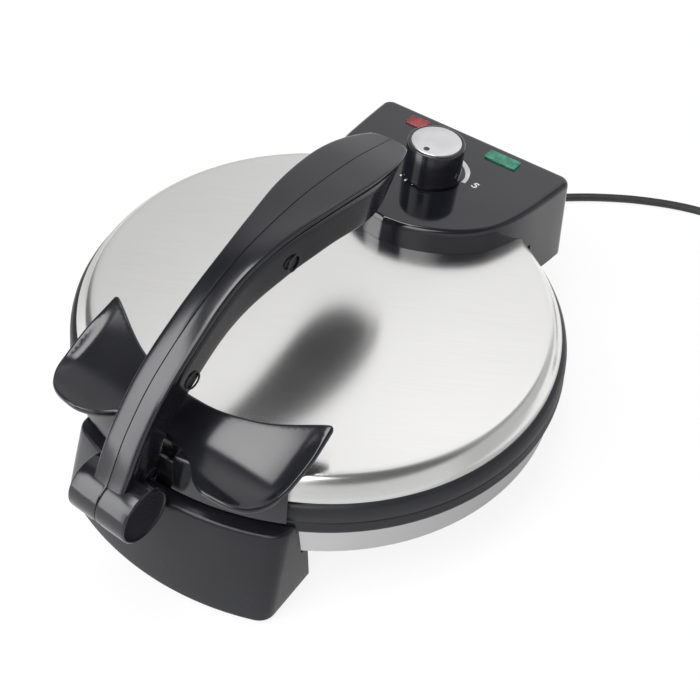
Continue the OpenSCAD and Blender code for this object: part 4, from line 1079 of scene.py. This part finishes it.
def make_stage():
    """Floor that camera and mirror rays see nearly white, with part of the shadow on it."""
    mesh = bpy.data.meshes.new("floor")
    s = FLOOR_HALF
    mesh.from_pydata([(-s, -s, 0), (s, -s, 0), (s, s, 0), (-s, s, 0)], [], [(0, 1, 2, 3)])
    floor = bpy.data.objects.new("floor", mesh)
    bpy.context.scene.collection.objects.link(floor)
    n = Material("floor")
    set_inputs(n.bsdf, Roughness=0.9, Base_Color=(0.9, 0.9, 0.9, 1), Specular_IOR_Level=0.1)
    path = n.add("LightPath")
    seen = n.maths("MAXIMUM", (path, "Is Camera Ray"), (path, "Is Transmission Ray"))
    seen = n.maths("MAXIMUM", seen, (path, "Is Glossy Ray"))
    strength = n.add("Mix")
    strength.data_type = "FLOAT"
    strength.inputs[2].default_value = 1.0
    n.join((path, "Is Glossy Ray"), strength, 0)
    n.join(n.fades(n.axes("Object"), FLOOR_IMAGE), strength, 3)
    glow = n.add("Emission", Color=(1, 1, 1, 1))
    n.join((strength, 0), glow, "Strength")
    n.join(n.mixed(n.maths("MULTIPLY", seen, FLOOR_GLOW), (n.bsdf, "BSDF"), (glow, "Emission")),
           n.out, "Surface")
    mesh.materials.append(n.mat)


def make_light():
    """Studio light from the world alone. Camera rays see the world plain white."""
    world = bpy.data.worlds.new("world")
    bpy.context.scene.world = world
    n = Tree(world)
    where = n.axes("Generated")
    where["lean"] = n.maths("MULTIPLY_ADD", where["X"], -ARCH_LEAN, where["Y"])
    light = ROOM
    for part in (WALL, ARCH, ABOVE, BANK, TABLE):
        light = n.maths("ADD", light, n.fades(where, part))
    studio = n.add("Background", Color=(1, 1, 1, 1))
    n.join(light, studio, "Strength")
    seen = n.add("Background", Color=(1, 1, 1, 1), Strength=1.0)
    sky = n.mixed((n.add("LightPath"), "Is Camera Ray"), (studio, "Background"),
                  (seen, "Background"))
    n.join(sky, n.add("OutputWorld"), "Surface")


make_camera()
make_materials()
dress_cad()
make_cord()
make_lid()
make_ring()
make_lever()
make_wings()
make_handle_walls()
make_housing()
make_bracket()
make_feet()
make_knob()
make_dial_dots()
make_dial_wedge()
make_dial_number()
make_lens("red_cap", -34.7, 7.2, "red", "red_lens")
make_lens("green_cap", 27.0, 10.9, "green", "green_lens")
make_stage()
make_light()

bpy.context.scene.view_settings.view_transform = "Standard"
